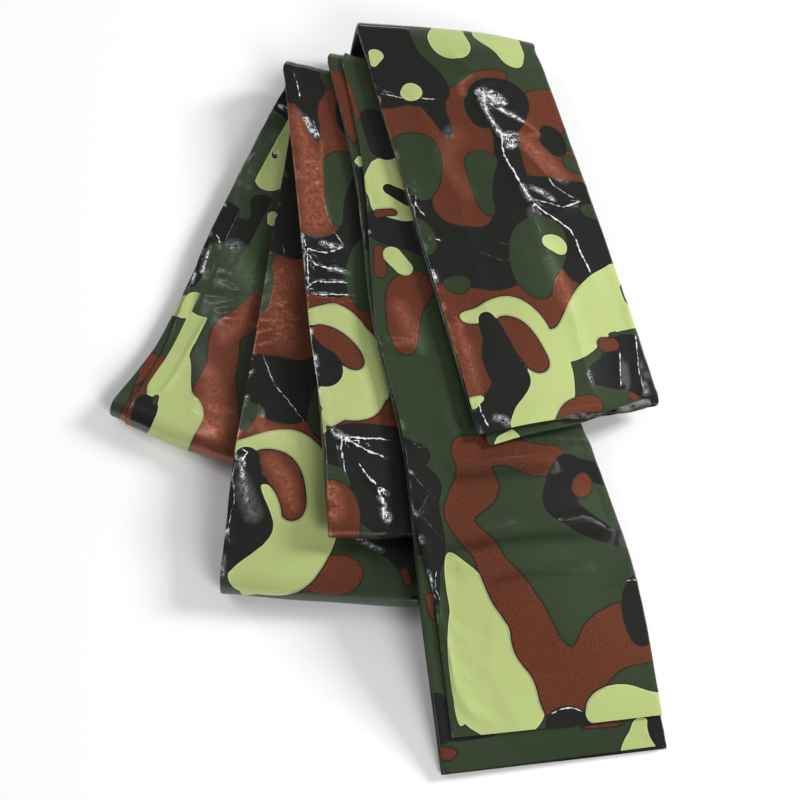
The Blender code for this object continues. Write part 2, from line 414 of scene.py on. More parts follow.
# %% Blots on the film that faces up in the top and middle lays
Blot = namedtuple("Blot", "ink chain between", defaults=(None,))
REPEAT = 572.0
FRONT_PRINT = (
    Blot("brown", ((-6, 66, 9), (4, 66, 8.5), (14, 66, 7), (26, 66, 5), (38, 65, 5.5))),
    Blot("brown", ((40, 64, 5.5), (46, 57, 7), (50, 52, 8.3), (55, 55, 8), (60, 62, 8), (61, 75, 4))),
    Blot("brown", ((56, 54, 6), (62, 63, 8), (69, 67, 3))),
    Blot("brown", ((-2, 25, 7), (4, 28, 9.5), (6, 40, 10), (6, 52, 9), (2, 62, 8))),
    Blot("brown", ((0, 172, 12), (14, 173, 12), (26, 170, 11), (27, 152, 8))),
    Blot("brown", ((27, 156, 9), (26, 141, 7.5), (24, 129, 10), (23.5, 119, 10.5), (31, 112.5, 7))),
    Blot("brown", ((34, 160, 10), (44, 158, 9), (40, 172, 9), (39, 183, 7.5), (46, 189, 5))),
    Blot("brown", ((42, 186, 6), (50, 193, 5), (57, 199, 4.5), (64, 202.5, 3), (67, 203, 1.6))),
    Blot("brown", ((70, 152, 10), (71, 143, 10), (82, 143, 9.5), (92, 146, 10))),
    Blot("brown", ((72, 158, 9), (78, 172, 11), (84, 184, 11), (95, 188, 12))),
    Blot("green", ((96, 166, 8), (92, 164, 4))),
    Blot("black", ((-6, 104, 27), (6, 102, 24.5), (15, 94, 18.5), (24, 90, 17.5), (31, 87, 18))),
    Blot("black", ((30, 88, 17), (42, 98, 16), (52, 118, 13), (62, 121, 12.5), (78, 119, 14.5), (98, 119, 15))),
    Blot("black", ((74, 102, 13), (78, 86, 16), (86, 92, 15))),
    Blot("brown", ((23, 122, 10), (23, 118, 10.5), (31, 112.5, 7))),
    Blot("black", ((58, 170, 6), (58, 160, 5), (56.5, 152, 5), (55, 145, 5.5), (53, 138, 7.5), (50, 130, 9))),
    Blot("black", ((50, 172, 6.3), (50, 180, 6.2), (54, 185.6, 7.6), (60, 189.4, 9.4), (67, 190, 9.4))),
    Blot("black", ((67, 190, 9.2), (65, 182, 8.6), (62, 174, 7), (60, 166, 5))),
    Blot("black", ((6, 245, 20), (9, 222, 17), (12, 205, 18), (20, 197, 16), (26, 192, 10.5))),
    Blot("black", ((26, 190, 9), (26.5, 180, 4.8), (28.5, 170, 3), (30, 161, 1.6))),
    Blot("black", ((-4, 190, 9), (5, 189, 8.5), (12, 192, 8))),
    Blot("black", ((82.8, 166.4, 5.3), (82.2, 160, 5.6), (81.5, 155.5, 4.3))),
    Blot("black", ((61, 19.5, 2.6), (68, 21, 6), (77, 22, 9.5), (84, 30, 12))),
    Blot("black", ((82, 22, 10), (88, 12, 8), (96, 4, 12))),
    Blot("green", ((3, 147, 10), (11, 152.5, 10.5), (12, 145, 8.5), (10, 136, 7.5), (7, 128, 5))),
    Blot("green", ((45, 145.5, 4), (41, 144, 6.4), (38.7, 136, 5.3), (37, 126, 3.9), (36.6, 118, 2.8), (37.3, 113, 1.6))),
    Blot("green", ((48.5, 68, 6), (48.2, 75, 8.3), (51, 83, 10.5), (54, 89, 11.8), (57, 95, 11.6), (60.5, 99.5, 9.3))),
    Blot("green", ((6, 75.4, 1.8), (10.5, 74.2, 3.8), (14.5, 75.4, 1.8))),
    Blot("green", ((-2, 110, 4), (1.5, 104, 4.2), (1, 96, 4.2))),
    Blot("green", ((88, 149, 3.4), (88.5, 146, 3.6), (95, 146, 5))),
    Blot("green", ((88.5, 116, 4.2), (96, 115, 7))),
    Blot("light", ((9, 56.8, 2.4), (16, 57, 2.8), (24, 59, 3.8), (31, 59.2, 4.8), (36.5, 55, 5.4), (41, 46, 6))),
    Blot("light", ((42, 40, 5.5), (48, 37, 7), (57, 39, 8.2), (67, 48, 10.5), (78, 57.5, 13.5), (96, 65, 19))),
    Blot("light", ((44, 34, 6.5), (42, 26, 9.5), (39, 18, 11), (32.5, 9, 14.5), (29, 0, 12), (28, -10, 11))),
    Blot("green", ((93, 61, 2.4), (95, 68, 4.5))),
    Blot("light", ((61.5, 93.6, 3.8), (65, 94, 3.2), (65.4, 90.6, 2.6))),
    Blot("light", ((18.8, 191, 3.9), (17, 188.4, 3.4), (15, 187.2, 1.9))),
    Blot("light", ((5.2, 213.2, 3.8), (2.5, 207, 1.6))),
    Blot("light", ((45.5, 222, 9.2), (46, 226.5, 9), (46.5, 234, 6.5))),
    Blot("light", ((75.3, 215.6, 4.6), (75.6, 221, 5.6), (74.8, 228.5, 8.8), (70, 237, 11))),
    Blot("light", ((1, 14.8, 2.8), (5.5, 16.2, 1.2))),
    Blot("light", ((37, 20, 6), (33.4, 25, 4.4), (30, 31, 3), (26.6, 35.8, 1.3))),
    Blot("brown", ((27, 50.5, 4.5), (31, 46, 5.8), (33.7, 39, 6), (36, 32, 5.1), (37, 29, 4.4))),
    Blot("brown", ((73, 36.5, 4.2), (76.5, 36.5, 4))),
    Blot("green", ((80.5, 42.3, 1.5), (77.5, 41.7, 1.3))),
    Blot("brown", ((44, -4, 8), (50, 1, 7.4), (57, 4.6, 5.4))),
    Blot("brown", ((78.5, 6, 2.3), (80.5, 2.5, 2.2))),
    Blot("black", ((19.2, 54.8, 3.6), (20, 48, 4), (20.6, 42, 4.8), (19.6, 35, 7), (20.8, 28, 7.4), (22.6, 22.5, 8.2))),
    Blot("black", ((22, 21.5, 8), (15, 14, 6), (7, 6, 8), (-2, 3, 9))),
    Blot("light", ((1, 14.6, 2.8), (5.5, 16, 1.2))),
    Blot("brown", ((30, 290, 12), (44, 300, 14), (58, 286, 10))),
    Blot("black", ((70, 300, 12), (84, 320, 14), (80, 344, 9))),
    Blot("light", ((12, 330, 10), (26, 344, 12), (22, 366, 9))),
    Blot("brown", ((60, 372, 14), (76, 388, 12), (66, 406, 9))),
    Blot("black", ((24, 402, 14), (36, 420, 12), (30, 438, 8))),
    Blot("light", ((70, 440, 12), (84, 456, 10))),
    Blot("brown", ((14, 462, 12), (30, 476, 14), (50, 470, 9))),
    Blot("black", ((66, 490, 12), (80, 500, 10))),
)

# %% Where the middle lays differ near their ends, each measured from its own near turn
LOWER_PRINT = (
    Blot("brown", ((-3, 119, 9.5), (6, 120, 12), (18, 121, 13), (30, 122, 13))),
    Blot("brown", ((16, 134, 12), (16, 148, 10), (13, 158, 10), (26, 146, 14))),
    Blot("green", ((-2, 152, 6), (-1, 142, 4.6), (0, 134, 3))),
    # Black over this lay's far part, beside the next lay's edge: partly its black print, mostly painted shadow of the
    # gap there.
    Blot("black", ((14, 172, 9), (6, 180, 13), (8, 200, 16), (10, 240, 18))),
    Blot("green", ((52, 10, 10), (70, 4, 10), (92, -6, 14), (60, -22, 16), (20, -30, 18), (92, -26, 16))),
    Blot("green", ((-1, 79, 3.6), (1, 72, 3.4), (3, 66, 1.6))),
    Blot("light", ((2, 54, 4), (10, 56.6, 5), (18, 58, 6), (26, 57, 7.4), (33, 50, 9), (36, 40, 9.5), (38, 28, 11))),
    Blot("brown", ((44, -3, 5.5), (52, -1, 6.8), (59, -0.6, 6))),
    Blot("light", ((38, 28, 11), (38, 16, 11.5), (34.5, 4, 10.5), (24, 0.5, 10.5), (10, -3.5, 6.6))),
    Blot("brown", ((12, 51.6, 3), (17, 49, 5.4), (22, 46, 6.6), (26, 40, 6.4), (28.6, 33, 5.4), (29.6, 27, 5.2))),
    Blot("light", ((20, 22, 5), (18.4, 29, 3.4), (16, 35.4, 2))),
    Blot("black", ((5.5, 50.6, 5.6), (6, 42, 6.6), (6.6, 34, 6.6), (9, 26, 7.8), (12, 18, 9.8))),
    Blot("black", ((11, 15, 9), (3, 6, 6.5), (-2, -2, 4.5))),
    Blot("black", ((62, 18, 2.4), (70, 17, 5.4), (80, 15, 8), (92, 8, 11))),
    Blot("brown", ((84, 2, 1.8), (86, -2, 1.8))),
    Blot("black", ((96, -12, 8), (90, -10, 3))),
)
UPPER_PRINT = (
    Blot("black", ((-3, 262, 9), (2, 246, 8), (3, 236, 7))),
    Blot("brown", ((-4, 210, 9), (-3, 196, 9), (-2, 182, 9))),
    Blot("green", ((20, 192, 4), (25, 197, 5.4), (31, 199, 5))),
    Blot("brown", ((8, 47, 7), (20, 44, 8), (32, 46, 12), (46, 50, 16))),
    Blot("light", ((0, 104, 3.4), (9, 104, 4), (16, 100, 5.6), (22, 94, 6.6), (26, 86, 7.4), (25, 76, 8.6), (20, 68, 11))),
    Blot("light", ((8, 60, 8), (16, 63, 13), (22, 68, 10))),
    Blot("light", ((4, 49.5, 3.4), (10, 54, 4.5))),
    Blot("light", ((18, 70, 8), (14, 76, 5), (10, 81.6, 3), (6.4, 85.6, 1.3))),
    Blot("brown", ((5, 96.4, 4), (11.5, 91, 5.6), (16.5, 84.5, 5.5), (19.4, 79.5, 4.2))),
    Blot("black", ((-2, 82, 6.5), (2.4, 77.5, 8.8), (4, 75.5, 8.4))),
    Blot("black", ((4, 33, 10), (14, 34, 12.4), (30, 34, 12.4), (46, 34, 12.4))),
    Blot("black", ((8, 18, 14), (26, 16, 18), (48, 10, 22), (40, -14, 14), (20, -16, 10))),
    Blot("green", ((1, 23.5, 3.6), (5, 21.5, 3), (8, 17.5, 2.4))),
    Blot("brown", ((2, 13, 6.5), (4, 9, 8), (5, 2, 8.6), (4, -12, 9))),
)

# %% The leaves that stick out at the strip's lower end, measured from it
LEDGE_PRINT = (
    Blot("black", ((1, 26, 7), (1, 18, 6))),
    Blot("brown", ((0, 8.6, 2.6), (5, 8.2, 2.6))),
    Blot("brown", ((4, 72, 2.5), (5, 66, 3))),
    Blot("brown", ((57, 13.6, 1.1), (75, 12.8, 1.1))),
    Blot("light", ((83, 12, 2.6), (82.6, 8, 3), (81, 3, 4.6), (80, -3, 8))),
    Blot("black", ((96, 14, 9.6), (93, 7, 6.4), (97, 0, 7))),
    Blot("black", ((5, 15.4, 2.2), (16, 15.6, 2), (27, 15.2, 1))),
)

BESIDE_PRINT = (
    Blot("green", ((2, 380, 7), (3, 300, 7), (3, 210, 7))),
    Blot("brown", ((2, 354, 4.4), (3, 336, 4.6), (3.4, 314, 3.6))),
    Blot("black", ((3, 295, 4.6), (3, 270, 4.6), (2, 250, 4))),
    Blot("light", ((3.4, 302, 3.2), (3.6, 300, 3.2))),
)
END_PRINT = (
    Blot("green", ((-5, 2, 14), (40, 2, 14), (95, 2, 14))),
    Blot("light", ((9, 0, 3), (15, 0, 4.4))),
)

# %% Blots on the film that faces up in the long and left lays
BACK_PRINT = (
    Blot("light", ((14, 89, 1.4), (16.5, 82, 4.3), (19.5, 75, 7.3), (22, 67, 9.2), (24, 60, 12), (21.5, 51, 14.6))),
    Blot("light", ((21.5, 51, 14.6), (23.5, 42, 16.8), (25.2, 33, 18), (29, 27, 14.5), (33.5, 24, 9.6))),
    Blot("light", ((9, 30, 2.5), (9.6, 24, 1.9), (9.8, 20.5, 0.9))),
    Blot("brown", ((72, 141, 3.5), (66, 137, 6.5), (57, 137, 8), (46, 140, 7), (36, 139, 7.5), (29.5, 139, 7.5))),
    Blot("brown", ((29.5, 139, 7.5), (30.5, 130, 6.6), (31, 122.5, 8.4), (26, 116.5, 7.6), (20.8, 110, 5.4), (20.8, 104, 4.8))),
    Blot("brown", ((20.8, 104, 4.8), (24, 97.5, 4.6), (29.5, 90.5, 4.8), (31, 84, 5), (35, 76.5, 7), (39, 68.5, 8.5))),
    Blot("brown", ((39, 68.5, 8.5), (43, 60, 7.5), (44.5, 50, 9), (50, 41, 9), (56, 34, 13), (55.5, 26, 11.6), (55.5, 19, 8.4))),
    Blot("brown", ((56, 34, 12.6), (64, 39, 9), (70.5, 46, 9.5), (77.5, 52, 12.5), (94, 57, 15.6))),
    Blot("black", ((80, 137.5, 3.6), (76, 134, 5), (72, 128, 5.6), (68.6, 121, 6.4), (67, 113, 7.2), (73, 108, 6), (82, 103, 4.4), (94, 98, 3))),
    Blot("black", ((78, 135, 4), (85, 134, 4.5), (95, 132, 6))),
    Blot("brown", ((77, 122, 2.8), (80.5, 126, 3), (83, 130, 1.8))),
    Blot("black", ((88.4, 53, 4.8), (88.6, 66, 5.4), (93, 76, 6.5))),
    Blot("black", ((-3, 140, 5), (4, 136, 5), (8, 138, 2.6))),
    Blot("black", ((-4, 130, 9), (2, 126, 7), (9, 122.6, 4.6), (5, 114, 6), (5, 104, 6.4), (5, 94, 6.6), (3, 86, 6))),
    Blot("black", ((2, 82, 6), (0, 74, 5))),
    Blot("black", ((49, 15.5, 4.6), (53, 15.6, 6.4), (57, 15.5, 4.4))),
    Blot("light", ((65.6, 18, 4.2), (69, 22, 5.4), (76, 21, 8.8), (84, 16.4, 9.4), (97, 12, 10.6))),
    Blot("green", ((12, 172, 18), (4, 160, 10), (30, 180, 14))),
    Blot("brown", ((12, 192, 5), (14, 205, 7), (18, 220, 9), (25, 228, 8))),
    Blot("brown", ((6, 234, 4), (7, 246, 4))),
    Blot("black", ((18, 258, 9), (4, 262, 7), (30, 254, 9))),
    Blot("light", ((14, 244, 5), (19, 237, 4.5))),
    Blot("light", ((8, 286, 9), (22, 294, 9), (25, 275, 8), (10, 276, 7))),
    Blot("black", ((17, 284, 3.5), (26, 279, 4.5))),
    Blot("brown", ((8, 269, 2.5), (17, 270, 2.5))),
    Blot("black", ((18, 325, 9), (18, 310, 8))),
    Blot("brown", ((6, 330, 4), (4, 345, 5))),
    Blot("brown", ((60, 200, 14), (74, 216, 12))),
    Blot("black", ((64, 260, 14), (78, 280, 12))),
    Blot("light", ((60, 310, 12), (72, 330, 10))),
    Blot("brown", ((30, 400, 14), (50, 410, 12))),
    Blot("black", ((70, 440, 12), (60, 460, 10))),
    Blot("light", ((24, 470, 12), (36, 490, 10))),
    Blot("brown", ((66, 520, 14), (50, 540, 10))),
)

# %% Blots on the left lay, measured from its near turn; its pleats have slipped along each other
OUTER_PLEAT = (-9.0, 11.2)
NEXT_PLEAT = (11.2, 23.6)
LEFT_PRINT = (
    Blot("black", ((2, 214, 9), (8, 204, 10), (14, 196, 6), (18, 190, 4))),
    Blot("black", ((-4, 122, 7), (4, 120, 7.5), (4, 110, 7.5)), OUTER_PLEAT),
    Blot("black", ((16, 134, 2.6), (20.5, 132, 5), (22.5, 124, 4.4), (22, 114, 6), (16, 111, 8), (12, 112, 8)), NEXT_PLEAT),
    Blot("light", ((13, 186, 5), (16.5, 176, 6), (15.5, 165, 6.5), (17.5, 153, 7), (18, 149, 7)), (11.2, 60.0)),
    Blot("black", ((13.4, 165.5, 1.6), (14.2, 163.6, 1.4))),
    Blot("light", ((27.6, 127.4, 2.7), (28.6, 124, 2.5))),
    Blot("black", ((-2, 98, 6), (0, 86, 4.6), (0, 78, 4))),
    Blot("light", ((-1, 62, 5), (4.5, 62, 4.6), (7, 67, 5.5)), (-9.0, 9.4)),
    Blot("brown", ((38.2, 80, 2.2), (39.6, 72, 4.6), (37.5, 63.5, 6.6), (31.6, 56, 6.3), (33.6, 48, 6.4), (37.4, 40, 6.8))),
    Blot("brown", ((37.4, 40, 6.8), (38.4, 33, 6.7), (40.5, 25, 8.6), (43.5, 17, 11), (50, 9, 10), (55, 1, 10), (57, -8, 13))),
    Blot("green", ((2, 44, 6), (2, 36, 5))),
    Blot("brown", ((0, 27, 4), (5, 26, 4.6), (6.4, 18, 4), (9.4, 8, 3), (11, 0, 3), (8, -14, 4))),
    Blot("light", ((13, 58, 7), (13.5, 50, 5.8), (12.8, 43, 5), (14, 36, 4.4), (14, 28, 6)), (8.2, 19.6)),
    Blot("green", ((10, 67.5, 6), (16, 67.5, 6), (22, 67.5, 6)), (9.4, 30.0)),
    Blot("light", ((15, 34, 5), (16.5, 26, 7.6), (19, 18, 9), (25.5, 9, 9.5), (34, 1.5, 11.6), (30, -10, 9))),
    Blot("black", ((14, 4.2, 3.2), (17.6, 0.6, 4.6), (18, -4, 4.8))),
    Blot("green", ((18, 8.4, 1.6), (19.6, 5.4, 1.3))),
    Blot("brown", ((70, 110, 12), (78, 130, 12), (60, 150, 10))),
    Blot("black", ((74, 60, 12), (80, 40, 10))),
)
print("blots:", len(FRONT_PRINT), len(BACK_PRINT), len(LEFT_PRINT))

# %% From blots to distances
INKS = ("brown", "black", "light")
FAR = 30.0
NECK_SOFTENING = 3.0
CHAIN_STEPS = 3


def rounded(chain):
    """A chain with more circles, on a smooth curve through its own."""
    circles = np.array(chain, float)[:, None]
    places = np.arange(len(chain), dtype=float)
    wanted = np.linspace(0.0, len(chain) - 1.0, CHAIN_STEPS * (len(chain) - 1) + 1)
    return smooth_through(circles, places, wanted)[:, 0] if len(chain) > 2 else circles[:, 0]


def neck(u, v, one, two):
    """Distance from the outline of two circles and the tapering neck between them."""
    du, dv = two[0] - one[0], two[1] - one[1]
    share = np.clip(((u - one[0]) * du + (v - one[1]) * dv) / (du * du + dv * dv), 0, 1)
    radius = one[2] + (two[2] - one[2]) * share
    return np.hypot(u - one[0] - du * share, v - one[1] - dv * share) - radius


def joined(first, second):
    """The nearer of two outlines, rounded where they meet."""
    blend = np.clip(0.5 + 0.5 * (second - first) / NECK_SOFTENING, 0, 1)
    return second + (first - second) * blend - NECK_SOFTENING * blend * (1 - blend)


def printed(blots, u, v, inks=None):
    """How far each spot lies from every ink's outline, in millimetres, after some more blots."""
    inks = dict(inks) if inks else {ink: np.full(u.shape, FAR) for ink in INKS}
    for blot in blots:
        circles = rounded(blot.chain)
        middle = circles[:, 1].mean()
        near = middle + (v - middle + REPEAT / 2) % REPEAT - REPEAT / 2
        reach = np.abs(circles[:, 1] - middle).max() + circles[:, 2].max() + FAR
        rows = np.flatnonzero(np.abs(near[:, 0] - middle) < reach)
        if not len(rows):
            continue
        across, along = u[rows], near[rows]
        outline = np.full(across.shape, FAR)
        for one, two in zip(circles, circles[1:]):
            outline = joined(outline, neck(across, along, one, two))
        if blot.between:
            outline = np.maximum(outline, blot.between[0] - across)
            outline = np.maximum(outline, across - blot.between[1])
        for ink in INKS:
            kept = inks[ink][rows]
            inks[ink][rows] = np.minimum(kept, outline) if ink == blot.ink else np.maximum(kept, -outline)
    return inks


spots = np.array([[20.0, 62.0]])
test = printed(FRONT_PRINT, spots, np.full(spots.shape, 95.0))
print("a black and a light spot:", {ink: np.round(test[ink], 1).tolist() for ink in INKS})

# %% [markdown]
# ## Where the print falls on each lay
#
# The film is one length, so the print runs on from lay to lay. On the upward face of the top
# and middle lays it is a single run that repeats; it slides a few millimetres sideways from
# one repeat to the next, because the bag was pleated by hand. The long and left lays show the
# film's other face, which is printed from the strip's lower end.

# %% Print position of every row
MIDDLE_UPPER = BEGIN["middle_upper"] / MM
FRONT_RUN = (
    (BEGIN["top"] / MM, 0.0, 0.0),
    (END["top"] / MM + 30.0, END["top"] / MM + 30.0, 0.0),
    (BEGIN["middle_lower"] / MM - 60.0, REPEAT - 60.0, 7.0),
    (BEGIN["middle_lower"] / MM, REPEAT, 7.0),
    (END["middle_lower"] / MM, REPEAT + (END["middle_lower"] - BEGIN["middle_lower"]) / MM, 8.5),
    (MIDDLE_UPPER, 2 * REPEAT - 47.0, 18.0),
    (MIDDLE_UPPER + 150.0, 2 * REPEAT + 103.0, 18.0),
    (MIDDLE_UPPER + 235.0, 2 * REPEAT + 185.0, 15.5),
    (RUN[-1] / MM, 2 * REPEAT + 185.0 + RUN[-1] / MM - MIDDLE_UPPER - 235.0, 15.5),
)
UNDERSIDE_PRINT = (
    Blot("green", ((-2, -20, 14), (-2, 180, 14), (-2, 390, 14))),
    Blot("black", ((-2, 250, 6), (-2, 230, 6))),
)
OVERPRINTS = (
    ("middle_lower", LOWER_PRINT, 262.0),
    ("middle_upper", UPPER_PRINT, 262.0),
    ("long", UNDERSIDE_PRINT, 380.0),
)
LEFT_SPAN = (BEGIN["far_left"] + 0.01, END["near_left"])


def front_print(runs, u):
    """Ink distances on the face that is upward in the top lay."""
    places, prints, slides = zip(*FRONT_RUN)
    v = np.interp(runs / MM, places, prints)
    slide = np.interp(runs / MM, places, slides)
    inks = printed(FRONT_PRINT, u[None, :] + slide[:, None], np.repeat(v[:, None], len(u), 1))
    for name, blots, length in OVERPRINTS:
        lay_v = (runs - BEGIN[name]) / MM
        rows = np.flatnonzero((lay_v > -30.0) & (lay_v < length))
        if len(rows):
            before = {ink: inks[ink][rows] for ink in INKS}
            across = np.repeat(u[None, :], len(rows), 0)
            after = printed(blots, across, np.repeat(lay_v[rows, None], len(u), 1), before)
            for ink in INKS:
                inks[ink][rows] = after[ink]
    return inks


def back_print(runs, u):
    """Ink distances on the face that is upward in the long lay."""
    v = np.repeat((RUN[-1] - runs)[:, None] / MM, len(u), 1)
    across = np.repeat(u[None, :], len(runs), 0)
    long = printed(BACK_PRINT, across, v)
    left = printed(LEFT_PRINT, across, v - (RUN[-1] - END["left_upper"]) / MM)
    on_left = ((runs > LEFT_SPAN[0]) & (runs < LEFT_SPAN[1]))[:, None]
    return {ink: np.where(on_left, left[ink], long[ink]) for ink in INKS}


print("front print repeats at", [round(row[1]) for row in FRONT_RUN])

# %% [markdown]
# ## Where a lay is covered
#
# Creases lift the film away from its stack. Under another lay there is no room for that, so
# the relief has to fade out there. We mark the plan of every lay on a grid of small cells, and
# grow the marks a little for a soft border.

# %% Marks of the lays above
COVER_CELL = 1.5 * MM
COVER_CELLS = (250, 350)
FADE_CELLS = 9


def marked(name):
    """The cells under one lay and its half of the turns at its ends."""
    runs = np.arange(BEGIN[name] - 6 * MM, END[name] + 6 * MM, 1.0 * MM)
    runs = np.clip(runs, 0.0, RUN[-1])
    spots = surface_at(runs, np.linspace(0.0, 1.0, 101))[..., :2] + CENTRE
    cells = np.rint((spots - PILE_CORNER) / COVER_CELL).astype(int)
    mark = np.zeros(COVER_CELLS[::-1])
    mark[cells[..., 1], cells[..., 0]] = 1.0
    return mark


def softened(mark):
    """A mark that falls to nothing a few cells outside its edge."""
    for _ in range(FADE_CELLS):
        around = [shifted(mark, dx, dy) for dx, dy in ((1, 0), (-1, 0), (0, 1), (0, -1))]
        mark = np.maximum.reduce([mark, *(field - 1 / FADE_CELLS for field in around)])
    return mark


MARKS = {lay.name: marked(lay.name) for lay in LAYS}
LEVELS = {lay.name: lay.level for lay in LAYS}
COVERS = {
    level: softened(np.maximum.reduce([np.zeros(COVER_CELLS[::-1])] + [
        MARKS[name] for name in MARKS if LEVELS[name] > level
    ]))
    for level in range(len(LAYS))
}


def uncovered(points, level):
    """One where nothing lies above, falling to nought at the edge of a higher lay."""
    hidden = read_field(COVERS[level], points[..., :2] + CENTRE, COVER_CELL)
    return 1.0 - hidden * hidden * (3 - 2 * hidden)


print("cells covered, by level:", {level: int(COVERS[level].sum()) for level in COVERS})
